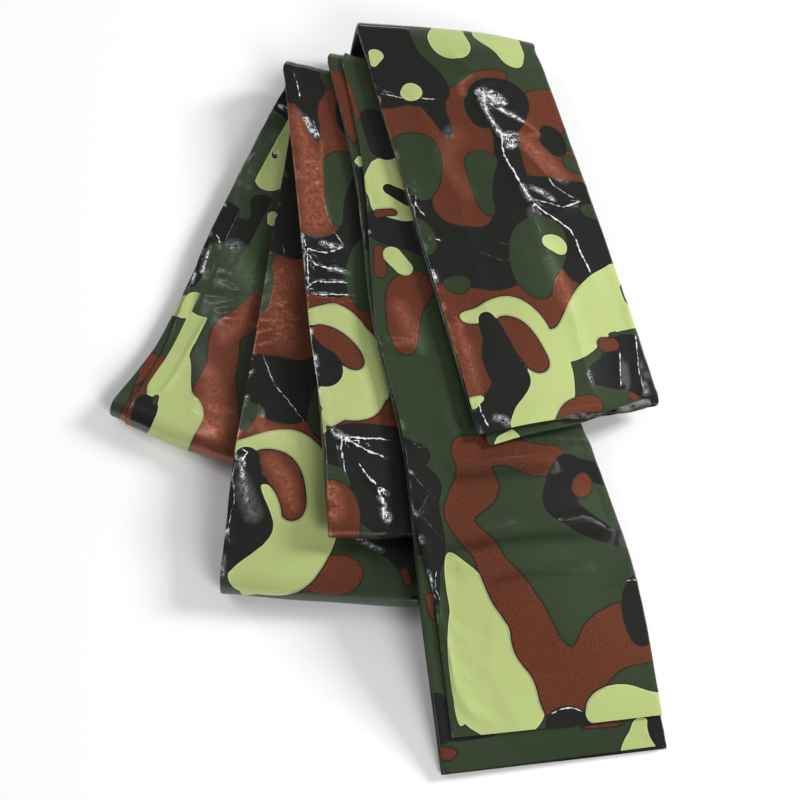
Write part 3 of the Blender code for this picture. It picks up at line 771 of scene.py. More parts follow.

# %% [markdown]
# ## Creases, crumples and waves
#
# Film doesn't stretch, so it can't make the round folds of cloth: it bends in flat facets with
# sharp ridges between them. Three things give that here. Long creases are placed one by one
# from a table, where they catch the eye. Crumples are patches of small tilted triangles, also
# listed one by one. And the pleated edges of the strip are nicked along their whole length.

# %% Creases, listed for each lay in millimetres across and along
# The fourth column sets the width of a hair line of painted highlight along the crease; nought paints none.
Crease = namedtuple("Crease", "lay rise reach wear line")
CREASES = (
    Crease("top", 1.2, 7.0, 0.6, ((53, 184), (52.5, 177), (54, 168), (56, 160), (54, 152), (54, 145), (56, 133), (58.5, 119))),
    Crease("top", 0.9, 7.0, 0.25, ((58.5, 119), (58, 104), (58.5, 94), (60, 80), (62, 60), (60, 40), (60, 12))),
    Crease("top", 0.9, 6.0, 0.5, ((58.5, 119), (66, 118), (74, 115.6), (80, 118.5), (85, 121))),
    Crease("top", 1.1, 7.0, 0.6, ((58.5, 118), (62, 113), (69, 107), (74, 102), (75, 97), (76, 88), (78.5, 71))),
    Crease("top", 0.8, 6.0, 0.5, ((54, 182), (61, 177), (66, 174), (69, 171.5), (75, 164))),
    Crease("top", 0.7, 6.0, 0.35, ((58, 158), (61, 161), (67, 162.5), (75, 164))),
    Crease("top", 0.9, 7.0, 0.3, ((64, 160), (67, 148), (71, 138), (73, 129), (78, 125), (84, 121))),
    Crease("top", 0.6, 5.0, 0.45, ((79.5, 33), (77, 24), (74, 13))),
    Crease("top", 0.9, 8.0, 0.12, ((45, 216), (52, 204), (56, 196))),
    Crease("top", 0.7, 9.0, 0.0, ((20, 40), (24, 120), (18, 190))),
    Crease("top", 0.8, 4.0, 0.35, ((4, 18), (5, 32), (3.5, 46), (5, 60))),
    Crease("top", 0.7, 4.0, 0.4, ((0, 60), (6, 54), (1, 52))),
    Crease("top", 0.7, 4.0, 0.4, ((1, 47), (8, 41), (2, 39))),
    Crease("top", 0.6, 3.0, 0.5, ((1, 133), (4, 127), (2, 120), (5, 113))),
    Crease("top", 0.6, 3.0, 0.5, ((2, 99), (5, 101), (9, 99))),
    Crease("top", 0.6, 4.0, 0.4, ((1, 188), (12, 185.5), (30, 184.5))),
    Crease("top", 0.5, 3.0, 0.45, ((4, 16), (3.6, 9), (5, 2))),
    Crease("top", 0.6, 5.0, 0.1, ((36, 96), (50, 88), (36, 84), (24, 92))),
    Crease("top", 0.8, 5.0, 0.3, ((85, 8), (86, 22), (90, 40), (91, 62))),
    Crease("middle_lower", 0.8, 6.0, 0.25, ((5, 107), (13, 90), (22, 80), (31, 69))),
    Crease("middle_lower", 0.7, 5.0, 0.3, ((7.5, 79), (8.5, 70), (14, 64))),
    Crease("middle_lower", 1.3, 6.0, 0.2, ((0, 142), (8, 137), (21, 131))),
    Crease("middle_lower", 1.1, 4.0, 0.4, ((0, 126), (10, 126), (21, 129))),
    Crease("middle_lower", 1.0, 4.0, 0.4, ((0, 119), (8, 121), (20, 124))),
    Crease("middle_lower", 0.9, 4.0, 0.3, ((2, 133), (9, 130), (18, 129))),
    Crease("middle_lower", 0.9, 4.0, 0.3, ((3, 113), (9, 114), (17, 117))),
    Crease("middle_lower", 0.8, 5.0, 0.25, ((4, 150), (10, 158), (6, 170))),
    Crease("middle_lower", 0.7, 7.0, 0.15, ((16, 53), (26, 37), (31, 25))),
    Crease("middle_lower", 0.9, 9.0, 0.0, ((0, 7), (30, 8), (60, 6))),
    Crease("middle_lower", 0.6, 4.0, 0.5, ((3, 55), (6, 53), (4, 49), (6, 47))),
    Crease("middle_lower", 0.6, 3.0, 0.2, ((1, 40), (3, 30), (1, 18), (3, 8))),
    Crease("middle_upper", 0.8, 5.0, 0.45, ((6, 250), (7.5, 232))),
    Crease("middle_upper", 0.9, 6.0, 0.45, ((13, 222), (17, 205), (14, 190), (13, 175), (15, 163), (18, 154), (22, 146))),
    Crease("middle_upper", 0.8, 4.0, 0.35, ((3, 230), (5, 215), (6, 204), (3, 197))),
    Crease("middle_upper", 0.8, 4.0, 0.35, ((3, 196.5), (8, 193), (16, 194.5))),
    Crease("middle_upper", 0.7, 4.0, 0.3, ((2, 189), (6, 186.5), (11, 187))),
    Crease("middle_upper", 1.0, 4.0, 0.6, ((1, 145), (9, 142.5), (13, 142), (22, 146))),
    Crease("middle_upper", 0.9, 4.0, 0.6, ((3, 141), (6, 135), (9, 134), (14, 133), (23, 130.5))),
    Crease("middle_upper", 0.9, 4.0, 0.6, ((0.5, 120), (3, 124), (6, 125), (24, 125))),
    Crease("middle_upper", 0.8, 4.0, 0.5, ((0, 117), (12, 117.5), (25, 118))),
    Crease("middle_upper", 0.8, 4.0, 0.5, ((0.5, 115.6), (8, 115.6), (14, 112.5), (25, 115))),
    Crease("middle_upper", 0.7, 4.0, 0.45, ((1, 155), (2, 140), (1, 114))),
    Crease("middle_upper", 1.0, 5.0, 0.65, ((6, 43), (9, 40), (20, 40), (31, 40))),
    Crease("middle_upper", 1.0, 5.0, 0.7, ((9, 40), (13, 37.5), (20, 34), (29, 30.5))),
    Crease("middle_upper", 0.8, 4.0, 0.5, ((9, 40), (7.6, 35), (8.4, 28), (9.4, 21))),
    Crease("middle_upper", 0.9, 4.0, 0.6, ((15, 28), (18, 23), (22, 18), (25, 11), (25, 1))),
    Crease("middle_upper", 0.8, 4.0, 0.45, ((18.5, 22), (22, 17), (28, 14.5))),
    Crease("middle_upper", 0.9, 4.0, 0.45, ((1, 18), (5, 15), (2, 10.5), (6, 6.5), (2.5, 1))),
    Crease("left_upper", 0.9, 5.0, 0.3, ((0, 193), (10, 190))),
    Crease("left_upper", 1.2, 5.0, 0.12, ((16, 84), (30, 80.5), (45, 79), (66, 78))),
    Crease("left_upper", 1.1, 5.0, 0.1, ((12, 90), (26, 87), (44, 86), (60, 92))),
    Crease("left_upper", 1.0, 5.0, 0.1, ((12, 72), (24, 73), (36, 76), (48, 74))),
    Crease("left_upper", 1.0, 4.0, 0.3, ((28, 62), (34, 63.5), (46, 64))),
    Crease("left_upper", 0.9, 4.0, 0.1, ((22, 66), (30, 70), (42, 69))),
    Crease("left_upper", 1.4, 2.4, 0.0, ((11.4, 204), (11.2, 150), (11.4, 100), (10.5, 60))),
    Crease("left_upper", 1.4, 2.4, 0.0, ((23.8, 140), (23.6, 110), (21.5, 84))),
    Crease("left_upper", 0.9, 3.0, 0.0, ((19.6, 62), (18, 40), (19, 12))),
    Crease("left_upper", 0.5, 5.0, 0.25, ((0, 4), (10, 8))),
    Crease("left_upper", 0.9, 6.0, 0.35, ((33, 15.5), (44, 15), (58, 14))),
    Crease("left_upper", 0.9, 6.0, 0.35, ((36, 9.5), (48, 7), (60, 2.5))),
    Crease("left_upper", 0.8, 4.0, 0.45, ((4, 108), (7, 105), (10.5, 101))),
    Crease("left_upper", 0.8, 4.0, 0.45, ((4, 101), (5, 92), (5, 84))),
    Crease("left_upper", 0.9, 5.0, 0.1, ((1, 180), (6, 165), (2, 148), (8, 130))),
    Crease("left_upper", 0.8, 5.0, 0.1, ((10, 176), (4, 158), (10, 140))),
    Crease("long", 1.0, 6.0, 0.2, ((2, 191), (10, 194), (20, 190))),
    Crease("long", 2.0, 10.0, 0.0, ((20, 150), (60, 147), (92, 150))),
    Crease("long", 2.0, 9.0, 0.0, ((18, 131), (45, 134), (72, 138))),
    Crease("long", 2.6, 9.0, 0.0, ((14, 96), (36, 100), (60, 104), (80, 106))),
    Crease("long", 1.4, 4.0, 0.0, ((64, 104), (74, 107), (84, 104))),
    Crease("long", 1.8, 6.0, 0.0, ((16, 84), (34, 85), (52, 81), (70, 84))),
    Crease("long", 0.9, 6.0, 0.0, ((44, 104), (36, 96), (24, 88), (14, 90))),
    Crease("long", 0.7, 5.0, 0.1, ((5, 62), (8, 46), (9, 36), (15, 24), (25, 18))),
    Crease("long", 0.5, 8.0, 0.0, ((34, 15), (24, 40), (28, 60))),
    Crease("long", 0.7, 4.0, 0.3, ((84, 79), (92, 80))),
    Crease("long", 0.6, 3.0, 0.3, ((2, 60), (5, 70), (2, 76), (6, 84))),
    Crease("long", 0.7, 4.0, 0.2, ((1, 146), (6, 140), (12, 141))),
    Crease("long", 0.8, 5.0, 0.1, ((0, 128), (8, 118), (2, 108), (10, 98))),
    Crease("long", 0.4, 2.0, 0.45, ((46, 20), (50, 21.8), (53, 22.2), (57, 21.6), (60, 20))),
    Crease("long", 0.6, 6.0, 0.0, ((30, 330), (24, 260), (28, 180), (22, 150))),
    Crease("long", 0.6, 4.0, 0.1, ((36, 200), (30, 188), (20, 186))),
)

# %% Painted glints where crushed film glitters, and at negative strength bands of painted shade
PaintedGlint = namedtuple("PaintedGlint", "lay strength chain soft", defaults=(0.6,))
PAINTED_GLINTS_AND_SHADE = (
    PaintedGlint("top", 1.0, ((54, 189, 3.6), (58, 187, 4.2), (62, 184, 2.6))),
    PaintedGlint("top", 0.8, ((52.5, 184, 2), (52.6, 177, 1), (54, 168, 0.9), (56, 161, 1.6), (59.5, 157, 3), (58, 154, 2))),
    PaintedGlint("top", 0.7, ((57, 181, 1.4), (63, 176, 1.4), (69, 171.5, 0.9))),
    PaintedGlint("top", 0.6, ((61, 127.6, 1), (66, 124.6, 1.6), (70.5, 120.5, 1.2))),
    PaintedGlint("top", 0.7, ((57.4, 128, 0.8), (57.6, 122, 1.2), (58.4, 119, 1))),
    PaintedGlint("top", 0.5, ((60, 22, 1), (60, 15, 1))),
    PaintedGlint("top", 0.5, ((65, 153, 1.4), (69, 147, 2.4), (72, 138, 1.2))),
    PaintedGlint("top", 0.45, ((70, 171, 1), (75, 164, 1), (69, 161, 1))),
    PaintedGlint("top", 0.5, ((60.5, 78, 1.6), (60.5, 68, 1.2), (62, 58, 1))),
    PaintedGlint("top", 0.55, ((43.5, 189, 1.4), (45, 195.6, 1.6), (51, 200.6, 1.6)), 1.4),
    PaintedGlint("top", 0.7, ((67, 158, 3), (73, 148, 4), (79, 138, 3)), 3.5),
    PaintedGlint("top", 0.65, ((58, 84, 2), (60, 72, 3.0), (60.5, 58, 2.4)), 2.6),
    PaintedGlint("top", 0.5, ((3, 20, 2.4), (4, 36, 3), (3, 52, 2.4)), 3.0),
    PaintedGlint("top", 0.3, ((30, 126, 3), (24, 146, 4), (34, 162, 4)), 4.0),
    PaintedGlint("top", 0.28, ((58.5, 112, 1.5), (58, 100, 2), (59, 86, 2)), 2.5),
    PaintedGlint("top", 0.5, ((9, 6, 1), (13, 4, 1.6), (15, 1, 1.2))),
    PaintedGlint("top", 0.4, ((87, 14, 1), (86, 4, 1.4))),
    PaintedGlint("middle_lower", 1.0, ((3.6, 50, 1.0), (4.4, 46, 0.9), (5, 41, 0.7))),
    PaintedGlint("middle_lower", 0.5, ((5, 42, 0.8), (6.5, 36, 1.2), (9, 30, 1.4)), 1.8),
    PaintedGlint("middle_lower", 0.26, ((6, 38, 1.6), (8.6, 31, 2.4), (12, 24, 2.4)), 3.2),
    PaintedGlint("middle_lower", 0.6, ((60.4, 16.6, 1.4), (66, 13.6, 1.2), (73, 10.6, 0.8))),
    PaintedGlint("middle_lower", 0.5, ((9, 75, 1), (10, 69, 2), (13, 64.5, 1))),
    PaintedGlint("middle_lower", 0.5, ((1, 126, 0.8), (10, 126, 0.9), (20, 129, 0.8))),
    PaintedGlint("middle_lower", 0.5, ((1, 119.6, 1.2), (8, 121, 1), (19, 124, 1))),
    PaintedGlint("middle_lower", 0.4, ((4, 113, 1), (9, 114, 1.2), (16, 117, 1))),
    PaintedGlint("middle_lower", 0.4, ((4, 134, 1), (9, 130.6, 1.2), (17, 130, 1))),
    PaintedGlint("middle_lower", 0.62, ((17, 50, 2.4), (25, 40, 3.4), (30, 28, 2.6)), 2.8),
    PaintedGlint("middle_lower", 0.5, ((10, 152, 7), (8, 140, 7), (12, 128, 6), (16, 116, 5)), 4.0),
    PaintedGlint("middle_lower", 0.45, ((4, 66, 2), (16, 64, 3), (28, 60, 2.4)), 3.0),
    PaintedGlint("middle_upper", 1.0, ((9, 221.5, 1.6), (11, 217, 1.6), (14, 211.5, 1.4))),
    PaintedGlint("middle_upper", 0.9, ((10.5, 148.6, 1.0), (14, 147, 1.4), (19, 146.4, 1.0))),
    PaintedGlint("middle_upper", 0.9, ((13, 133, 0.7), (17, 132.4, 1.0), (22.5, 131, 0.9))),
    PaintedGlint("middle_upper", 0.9, ((4.6, 44.4, 0.8), (7, 41.8, 1.5), (9.6, 39.6, 1.0))),
    PaintedGlint("middle_upper", 0.75, ((23.6, 12, 0.5), (25.8, 7.6, 0.8), (25, 4.8, 1.0), (27, 2.4, 1.9))),
    PaintedGlint("middle_upper", 0.6, ((4, 222, 2.6), (6, 210, 4), (9, 198, 5.4), (8, 180, 6), (8, 160, 6.4)), 3.0),
    PaintedGlint("middle_upper", 0.5, ((4, 12, 3), (5, 4, 3)), 2.5),
    PaintedGlint("middle_upper", 0.55, ((16.5, 207, 1), (14, 190, 1.2), (13.4, 176, 1), (16, 161, 1))),
    PaintedGlint("middle_upper", 0.5, ((3, 196, 1), (9, 194, 1.6), (15, 194, 1))),
    PaintedGlint("middle_upper", 0.5, ((3, 189, 1.2), (7, 186.4, 1))),
    PaintedGlint("middle_upper", 0.6, ((2, 18, 1.2), (5, 14.6, 1), (2, 10.6, 1), (5.6, 6.4, 1.2), (3, 1.4, 1.2))),
    PaintedGlint("left_upper", 0.9, ((3, 198.4, 1), (8, 196.6, 1.2))),
    PaintedGlint("left_upper", 0.8, ((14.6, 166.6, 1), (12.6, 165.4, 1))),
    PaintedGlint("left_upper", 1.0, ((7, 86, 1.6), (8.4, 82.6, 1.8))),
    PaintedGlint("left_upper", 0.7, ((4.4, 100, 0.8), (4.6, 92, 1), (4.4, 85, 1))),
    PaintedGlint("left_upper", 0.5, ((16, 102, 3), (25, 92, 6), (36, 84, 4)), 4.0),
    PaintedGlint("left_upper", 0.32, ((6, 178, 3), (8, 160, 4), (5, 144, 3)), 4.0),
    PaintedGlint("left_upper", 0.5, ((34, 30, 3), (44, 17, 6), (54, 5, 6)), 4.0),
    PaintedGlint("left_upper", 0.4, ((36, 74, 3), (36, 62, 4), (32, 52, 3)), 3.0),
    PaintedGlint("left_upper", 0.5, ((36, 77.6, 1.2), (41, 76, 1))),
    PaintedGlint("left_upper", 0.5, ((29, 62.4, 1), (36, 63.4, 1.2), (44, 64, 0.9))),
    PaintedGlint("left_upper", 0.5, ((34, 15.6, 0.9), (46, 15.2, 1.2), (57, 14.2, 0.9))),
    PaintedGlint("left_upper", 0.45, ((37, 9.4, 1), (48, 7.2, 2), (59, 3, 1.2))),
    PaintedGlint("long", 0.35, ((8, 192, 1.2), (14, 192.6, 1.2))),
    PaintedGlint("long", 0.5, ((14, 214, 3), (18, 200, 4), (20, 192, 2)), 3.0),
    # Bands of painted shade across the long lay, on folds that slope away from the light.
    PaintedGlint("long", -0.5, ((22, 126, 1.6), (45, 128.6, 2.4), (72, 133, 1.6)), 3.0),
    PaintedGlint("long", -0.55, ((14, 91.6, 1), (34, 94.6, 1.8), (60, 98.6, 1.6), (80, 101, 0.8)), 2.4),
    PaintedGlint("long", -0.4, ((30, 78, 0.6), (45, 80.6, 1), (60, 81.6, 0.6)), 1.8),
)

Crumple = namedtuple("Crumple", "lay u v wide long strength size")
CRUMPLES = (
    Crumple("top", 57, 188, 10, 9, 1.0, 3.0),
    Crumple("top", 68, 125, 6, 4, 0.8, 3.5),
    Crumple("top", 60, 158, 4, 5, 0.7, 3.0),
    Crumple("top", 3, 124, 4, 12, 0.8, 3.0),
    Crumple("top", 4, 186, 6, 5, 0.6, 3.0),
    Crumple("top", 10, 4, 9, 6, 0.7, 3.0),
    Crumple("top", 88, 6, 7, 8, 0.8, 3.0),
    Crumple("top", 90, 134, 3, 4, 0.6, 3.0),
    Crumple("middle_lower", 10, 126, 20, 18, 1.0, 5.0),
    Crumple("middle_lower", 10, 154, 14, 12, 0.7, 5.0),
    Crumple("middle_lower", 10, 34, 8, 20, 0.5, 3.5),
    Crumple("middle_upper", 10, 189, 9, 7, 0.8, 4.0),
    Crumple("middle_upper", 14, 130, 14, 18, 0.6, 5.0),
    Crumple("middle_upper", 6, 8, 8, 10, 0.8, 3.5),
    Crumple("middle_upper", 26, 5, 4, 7, 0.8, 3.0),
    Crumple("left_upper", 8, 160, 12, 34, 0.4, 9.0),
    Crumple("left_upper", 24, 98, 20, 40, 0.4, 11.0),
    Crumple("left_upper", 34, 74, 24, 14, 0.35, 6.0),
    Crumple("long", 6, 102, 9, 40, 0.8, 4.0),
    Crumple("long", 12, 42, 12, 26, 0.4, 7.0),
    Crumple("long", 10, 191, 10, 5, 0.7, 4.0),
    Crumple("long", 86, 79, 6, 4, 0.6, 3.0),
)
print("creases:", len(CREASES), "crumples:", len(CRUMPLES))

# %% Relief of a lay
WARP = 0.35
EDGE_REACH = 5.0


def facets(u, v, size, seed):
    """Flat triangles that meet in sharp ridges, between nought and one."""
    heights = np.random.default_rng(seed).random((64, 64))
    x = u / size + WARP * np.sin(v / size * 1.9 + seed) + 0.3 * v / size
    y = v / size + WARP * np.sin(u / size * 1.7 + 2.0 * seed) - 0.3 * u / size
    i, j = np.floor(x).astype(int), np.floor(y).astype(int)
    a, b = x - i, y - j

    def node(di, dj):
        return heights[(i + di) % 64, (j + dj) % 64]

    near = node(0, 0) + a * (node(1, 0) - node(0, 0)) + b * (node(0, 1) - node(0, 0))
    far = node(1, 1) + (1 - a) * (node(0, 1) - node(1, 1)) + (1 - b) * (node(1, 0) - node(1, 1))
    return np.where(a + b < 1, near, far)


def beside(line, u, v):
    """Distance to a line of straight pieces, signed by the side, and the share along it."""
    best = np.full(u.shape, 1e9)
    signed = np.full(u.shape, 1e9)
    share_along = np.zeros(u.shape)
    for number, (one, two) in enumerate(zip(line, line[1:])):
        du, dv = two[0] - one[0], two[1] - one[1]
        share = np.clip(((u - one[0]) * du + (v - one[1]) * dv) / (du * du + dv * dv), 0, 1)
        away = np.hypot(u - one[0] - du * share, v - one[1] - dv * share)
        side = np.sign((u - one[0]) * dv - (v - one[1]) * du)
        nearer = away < best
        best = np.where(nearer, away, best)
        signed = np.where(nearer, away * side, signed)
        share_along = np.where(nearer, (number + share) / (len(line) - 1), share_along)
    return signed, share_along


def paint_glints_and_shade(name, u, v):
    """Painted glints above nought and painted shade below it, from the table: its patches fade out within a millimetre.
    """
    painted_glint_shade = np.zeros(u.shape)
    for glint in PAINTED_GLINTS_AND_SHADE:
        if glint.lay == name:
            circles = rounded(glint.chain)
            outline = np.minimum.reduce([neck(u, v, one, two) for one, two in zip(circles, circles[1:])])
            patch = glint.strength * np.clip(0.5 - outline / (2 * glint.soft), 0, 1)
            painted_glint_shade = np.where(np.abs(patch) > np.abs(painted_glint_shade), patch, painted_glint_shade)
    return painted_glint_shade


def relief(name, u, v):
    """Rise of the film (mm), how crumpled it is, its painted glints and painted shade, each crease's side and the width
    of its painted highlight line.
    """
    rise = 0.12 + 0.12 * np.sin(v / 17.0 + u / 60.0 + len(name)) * np.sin(v / 41.0 - u / 23.0)
    rise += 0.8 * facets(u, v, 26.0, 3) + 0.3 * facets(u, v, 11.0, 8)
    painted_glint_shade = paint_glints_and_shade(name, u, v)
    crumpled = 0.5 * np.maximum(painted_glint_shade, 0.0) ** 2
    crease_side = np.full(u.shape, FAR)
    crease_highlight_width = np.zeros(u.shape)
    for crease in CREASES:
        if crease.lay == name:
            signed, share = beside(crease.line, u, v)
            ends = np.clip(8 * share * (1 - share), 0, 1) ** 0.5
            away = np.abs(signed)
            ridge = np.clip(1 - away / crease.reach, 0, 1) ** 1.6
            rise += crease.rise * (0.4 + 0.6 * ends) * ridge
            nearer = away < np.abs(crease_side)
            crease_highlight_width = np.where(nearer, crease.wear * ends * np.clip(3.0 - away, 0, 1), crease_highlight_width)
            crease_side = np.where(nearer, signed, crease_side)
    for number, patch in enumerate(CRUMPLES):
        if patch.lay == name:
            away = np.hypot((u - patch.u) / patch.wide, (v - patch.v) / patch.long)
            inside = np.clip((1.15 - away) / 0.6, 0, 1)
            fine = facets(u, v, patch.size, 11 + number)
            fine = fine + 0.5 * facets(v, u, patch.size / 2, 41 + number)
            rise += inside * patch.strength * 0.42 * patch.size ** 0.5 * fine
            crumpled = np.maximum(crumpled, inside * patch.strength)
    for edge, distance in ((0, u), (1, WIDTH - u)):
        inside = np.clip(1 - distance / EDGE_REACH, 0, 1)
        nicks = facets(v + 200.0 * edge, distance * 0.6, 4.5, 5 + edge)
        rise += 0.7 * inside * (1 - inside) * 2 * nicks
        # Small painted glints on the left edge where a nick is deep.
        edge_painted_glints = 0.8 * (1 - edge) * np.clip((nicks - 0.72) * 8, 0, 1) * np.clip(2.2 - distance, 0, 1)
        painted_glint_shade = np.where(edge_painted_glints > np.abs(painted_glint_shade), edge_painted_glints, painted_glint_shade)
        crumpled = np.maximum(crumpled, 0.55 * inside * nicks)
    return rise, crumpled, painted_glint_shade, crease_side, crease_highlight_width


# %% Relief of a whole face, lay after lay
Visible = namedtuple("Visible", "lay turns from_start")
FRONT_LAYS = (
    Visible("top", ("far_outer",), True),
    Visible("middle_lower", ("near_long", "far_inner"), True),
    Visible("middle_upper", ("near_tight", "far_left"), True),
)
BACK_LAYS = (
    Visible("long", ("far_middle",), False),
    Visible("left_upper", ("near_left",), False),
)


def face_relief(visible, runs, u, points):
    """Relief of every lay of one face that shows, and of the turns at its ends."""
    shape = (len(runs), len(u))
    rise, crumpled, painted_glint_shade = np.zeros(shape), np.zeros(shape), np.zeros(shape)
    side, wear = np.full(shape, FAR), np.zeros(shape)
    for lay_name, turns, from_start in visible:
        names = (lay_name, *turns)
        begin, end = min(BEGIN[name] for name in names), max(END[name] for name in names)
        rows = np.flatnonzero((runs >= begin) & (runs <= end))
        v = (runs[rows] - BEGIN[lay_name] if from_start else END[lay_name] - runs[rows]) / MM
        across, along = np.meshgrid(u, v)
        parts = relief(lay_name, across, along)
        free = uncovered(points[rows], LEVELS[lay_name])
        border = np.clip(np.minimum(runs[rows] - begin, end - runs[rows]) / (4 * MM), 0, 1)[:, None]
        rise[rows] = parts[0] * free * border
        crumpled[rows] = parts[1] * free
        painted_glint_shade[rows], side[rows], wear[rows] = parts[2:]
    return rise, {"crumpled": crumpled, "painted_glint_shade": painted_glint_shade, "crease_side": side, "crease_highlight_width": wear}


print("faces that show:", [row.lay for row in FRONT_LAYS + BACK_LAYS])

# %% [markdown]
# ## The leaves of film
#
# Pleated film is a stack of leaves that turn over at the strip's edges. The two outer leaves
# carry everything that is seen, so they are pieces of their own with fine points; the leaves
# between them show only their edges and their cut ends. Each leaf is a grid, moved into place
# point by point, because its place is already known for every point of the surface.

# %% Leaf spacing, uneven edges and cut ends
LEAVES = 9
PITCH = (STACK - 0.1 * MM) / (LEAVES - 1)
LOOSE_EDGE = {
    "left_upper": ((0.0, 0.0), (0.55, 0.0), (1.0, 9.0)),
    "left_lower": ((0.0, 9.0), (0.4, 0.0), (1.0, 8.0)),
    "long": ((0.0, 8.0), (0.45, 0.5), (0.7, 0.0), (0.8, 6.0), (1.0, 6.0)),
}
UPPER_CUT = (1.5, 1.0, 2.4, 0.8, 1.2, 2.0, 0.4, 1.0, 0.0)
LOWER_CUT = (14.5, 1.0, 1.5, 0.6, 2.5, 0.5, 3.0, 1.0, 0.0)
RAGGED = {
    8: ((0, 0.0), (38, 0.3), (44, 1.8), (56, 2.2), (62, 1.4), (68, 2.4), (78, 4.4), (86, 6.0), (92, 3.0)),
    7: ((0, 1.5), (40, 1.2), (45, -1.4), (54, -1.8), (60, 0.4), (66, 0.2), (78, -0.4), (86, 2.0), (92, 1.0)),
    6: ((0, 2.0), (30, 0.6), (44, 0.5), (56, 1.2), (74, -0.6), (84, 0.6), (92, 3.0)),
    5: ((0, 1.0), (26, 1.0), (38, -1.4), (64, -1.0), (80, 1.0), (92, 4.0)),
    3: ((0, 0.5), (40, 0.8), (60, -0.8), (78, 0.0), (88, 3.0), (92, 5.0)),
    1: ((0, 2.0), (2.5, 1.0), (3.5, -6.4), (12, -5.6), (21, -4.8), (50, -3.2), (58, -1.0), (92, 3.0)),
}
RAGGED_REACH = 12.0 * MM
WANDER = 0.8


def wander(runs, seed):
    """A slow, uneven drift from side to side, in metres."""
    rng = np.random.default_rng(seed)
    knots = rng.uniform(-1.0, 1.0, 160)
    slow = np.interp(runs / (31 * MM), np.arange(160), knots)
    quick = np.interp(runs / (9 * MM) % 159, np.arange(160), knots[::-1])
    return WANDER * MM * (0.75 * slow + 0.25 * quick)


def ragged(runs, across, leaf):
    """How far a leaf's upper cut end is drawn in at each point, in metres."""
    fade = np.clip(1 - (runs - UPPER_CUT[leaf] * MM) / RAGGED_REACH, 0, 1)[:, None]
    return fade * np.interp(across, *zip(*RAGGED.get(leaf, ((0, 0.0), (92, 1.0))))) * MM


def loose_inset(runs):
    """How far the first leaf's free edge lies inside the strip's left edge, in metres."""
    knots = [(0.0, 0.0)]
    for lay in LAYS:
        for share, depth in LOOSE_EDGE.get(lay.name, ((0.0, 0.0), (1.0, 0.0))):
            knots.append((BEGIN[lay.name] + share * (END[lay.name] - BEGIN[lay.name]), depth * MM))
    return np.interp(runs, *zip(*knots))


def trimmed(runs, leaf):
    """The runs of one leaf between its two cut ends."""
    begin, end = UPPER_CUT[leaf] * MM, RUN[-1] - LOWER_CUT[leaf] * MM
    inner = runs[(runs > begin + 0.5 * MM) & (runs < end - 0.5 * MM)]
    return np.concatenate(([begin], inner, [end]))


def frame_of(surface):
    """Across, outward-from-the-front and along directions of a surface."""
    side = unit(np.gradient(surface, axis=1))
    along = unit(np.gradient(surface, axis=0))
    return side, unit(np.cross(side, along)), along


def sheet_piece(name, path, uv, masks, outward):
    """A sheet through a grid of points, with its film coordinates and its masks."""
    rows, columns = path.shape[:2]
    mesh = bpy.data.meshes.new(name)
    bm = bmesh.new()
    bmesh.ops.create_grid(bm, x_segments=rows - 1, y_segments=columns - 1, size=1.0)
    if outward > 0:
        bmesh.ops.reverse_faces(bm, faces=bm.faces)
    bm.to_mesh(mesh)
    bm.free()
    order = path.swapaxes(0, 1).reshape(-1, 3)
    mesh.vertices.foreach_set("co", order.ravel())
    corners = np.empty(len(mesh.loops), int)
    mesh.loops.foreach_get("vertex_index", corners)
    layer = mesh.uv_layers.new(name="Film")
    layer.data.foreach_set("uv", uv.swapaxes(0, 1).reshape(-1, 2)[corners].ravel())
    for mask, values in masks.items():
        attribute = mesh.attributes.new(mask, "FLOAT", "POINT")
        attribute.data.foreach_set("value", values.T.astype(np.float32).ravel())
    mesh.polygons.foreach_set("use_smooth", np.ones(len(mesh.polygons), bool))
    mesh.update()
    piece = bpy.data.objects.new(name, mesh)
    bpy.context.scene.collection.objects.link(piece)
    print(name, ":", len(mesh.polygons) * 2, "triangles")
    return piece


# %% The two outer leaves
TUCK = (0.0, 0.12, 0.24, 0.24, 0.24)
TUCK_IN = (0.0, -0.16, -0.05, 1.5, 4.0)


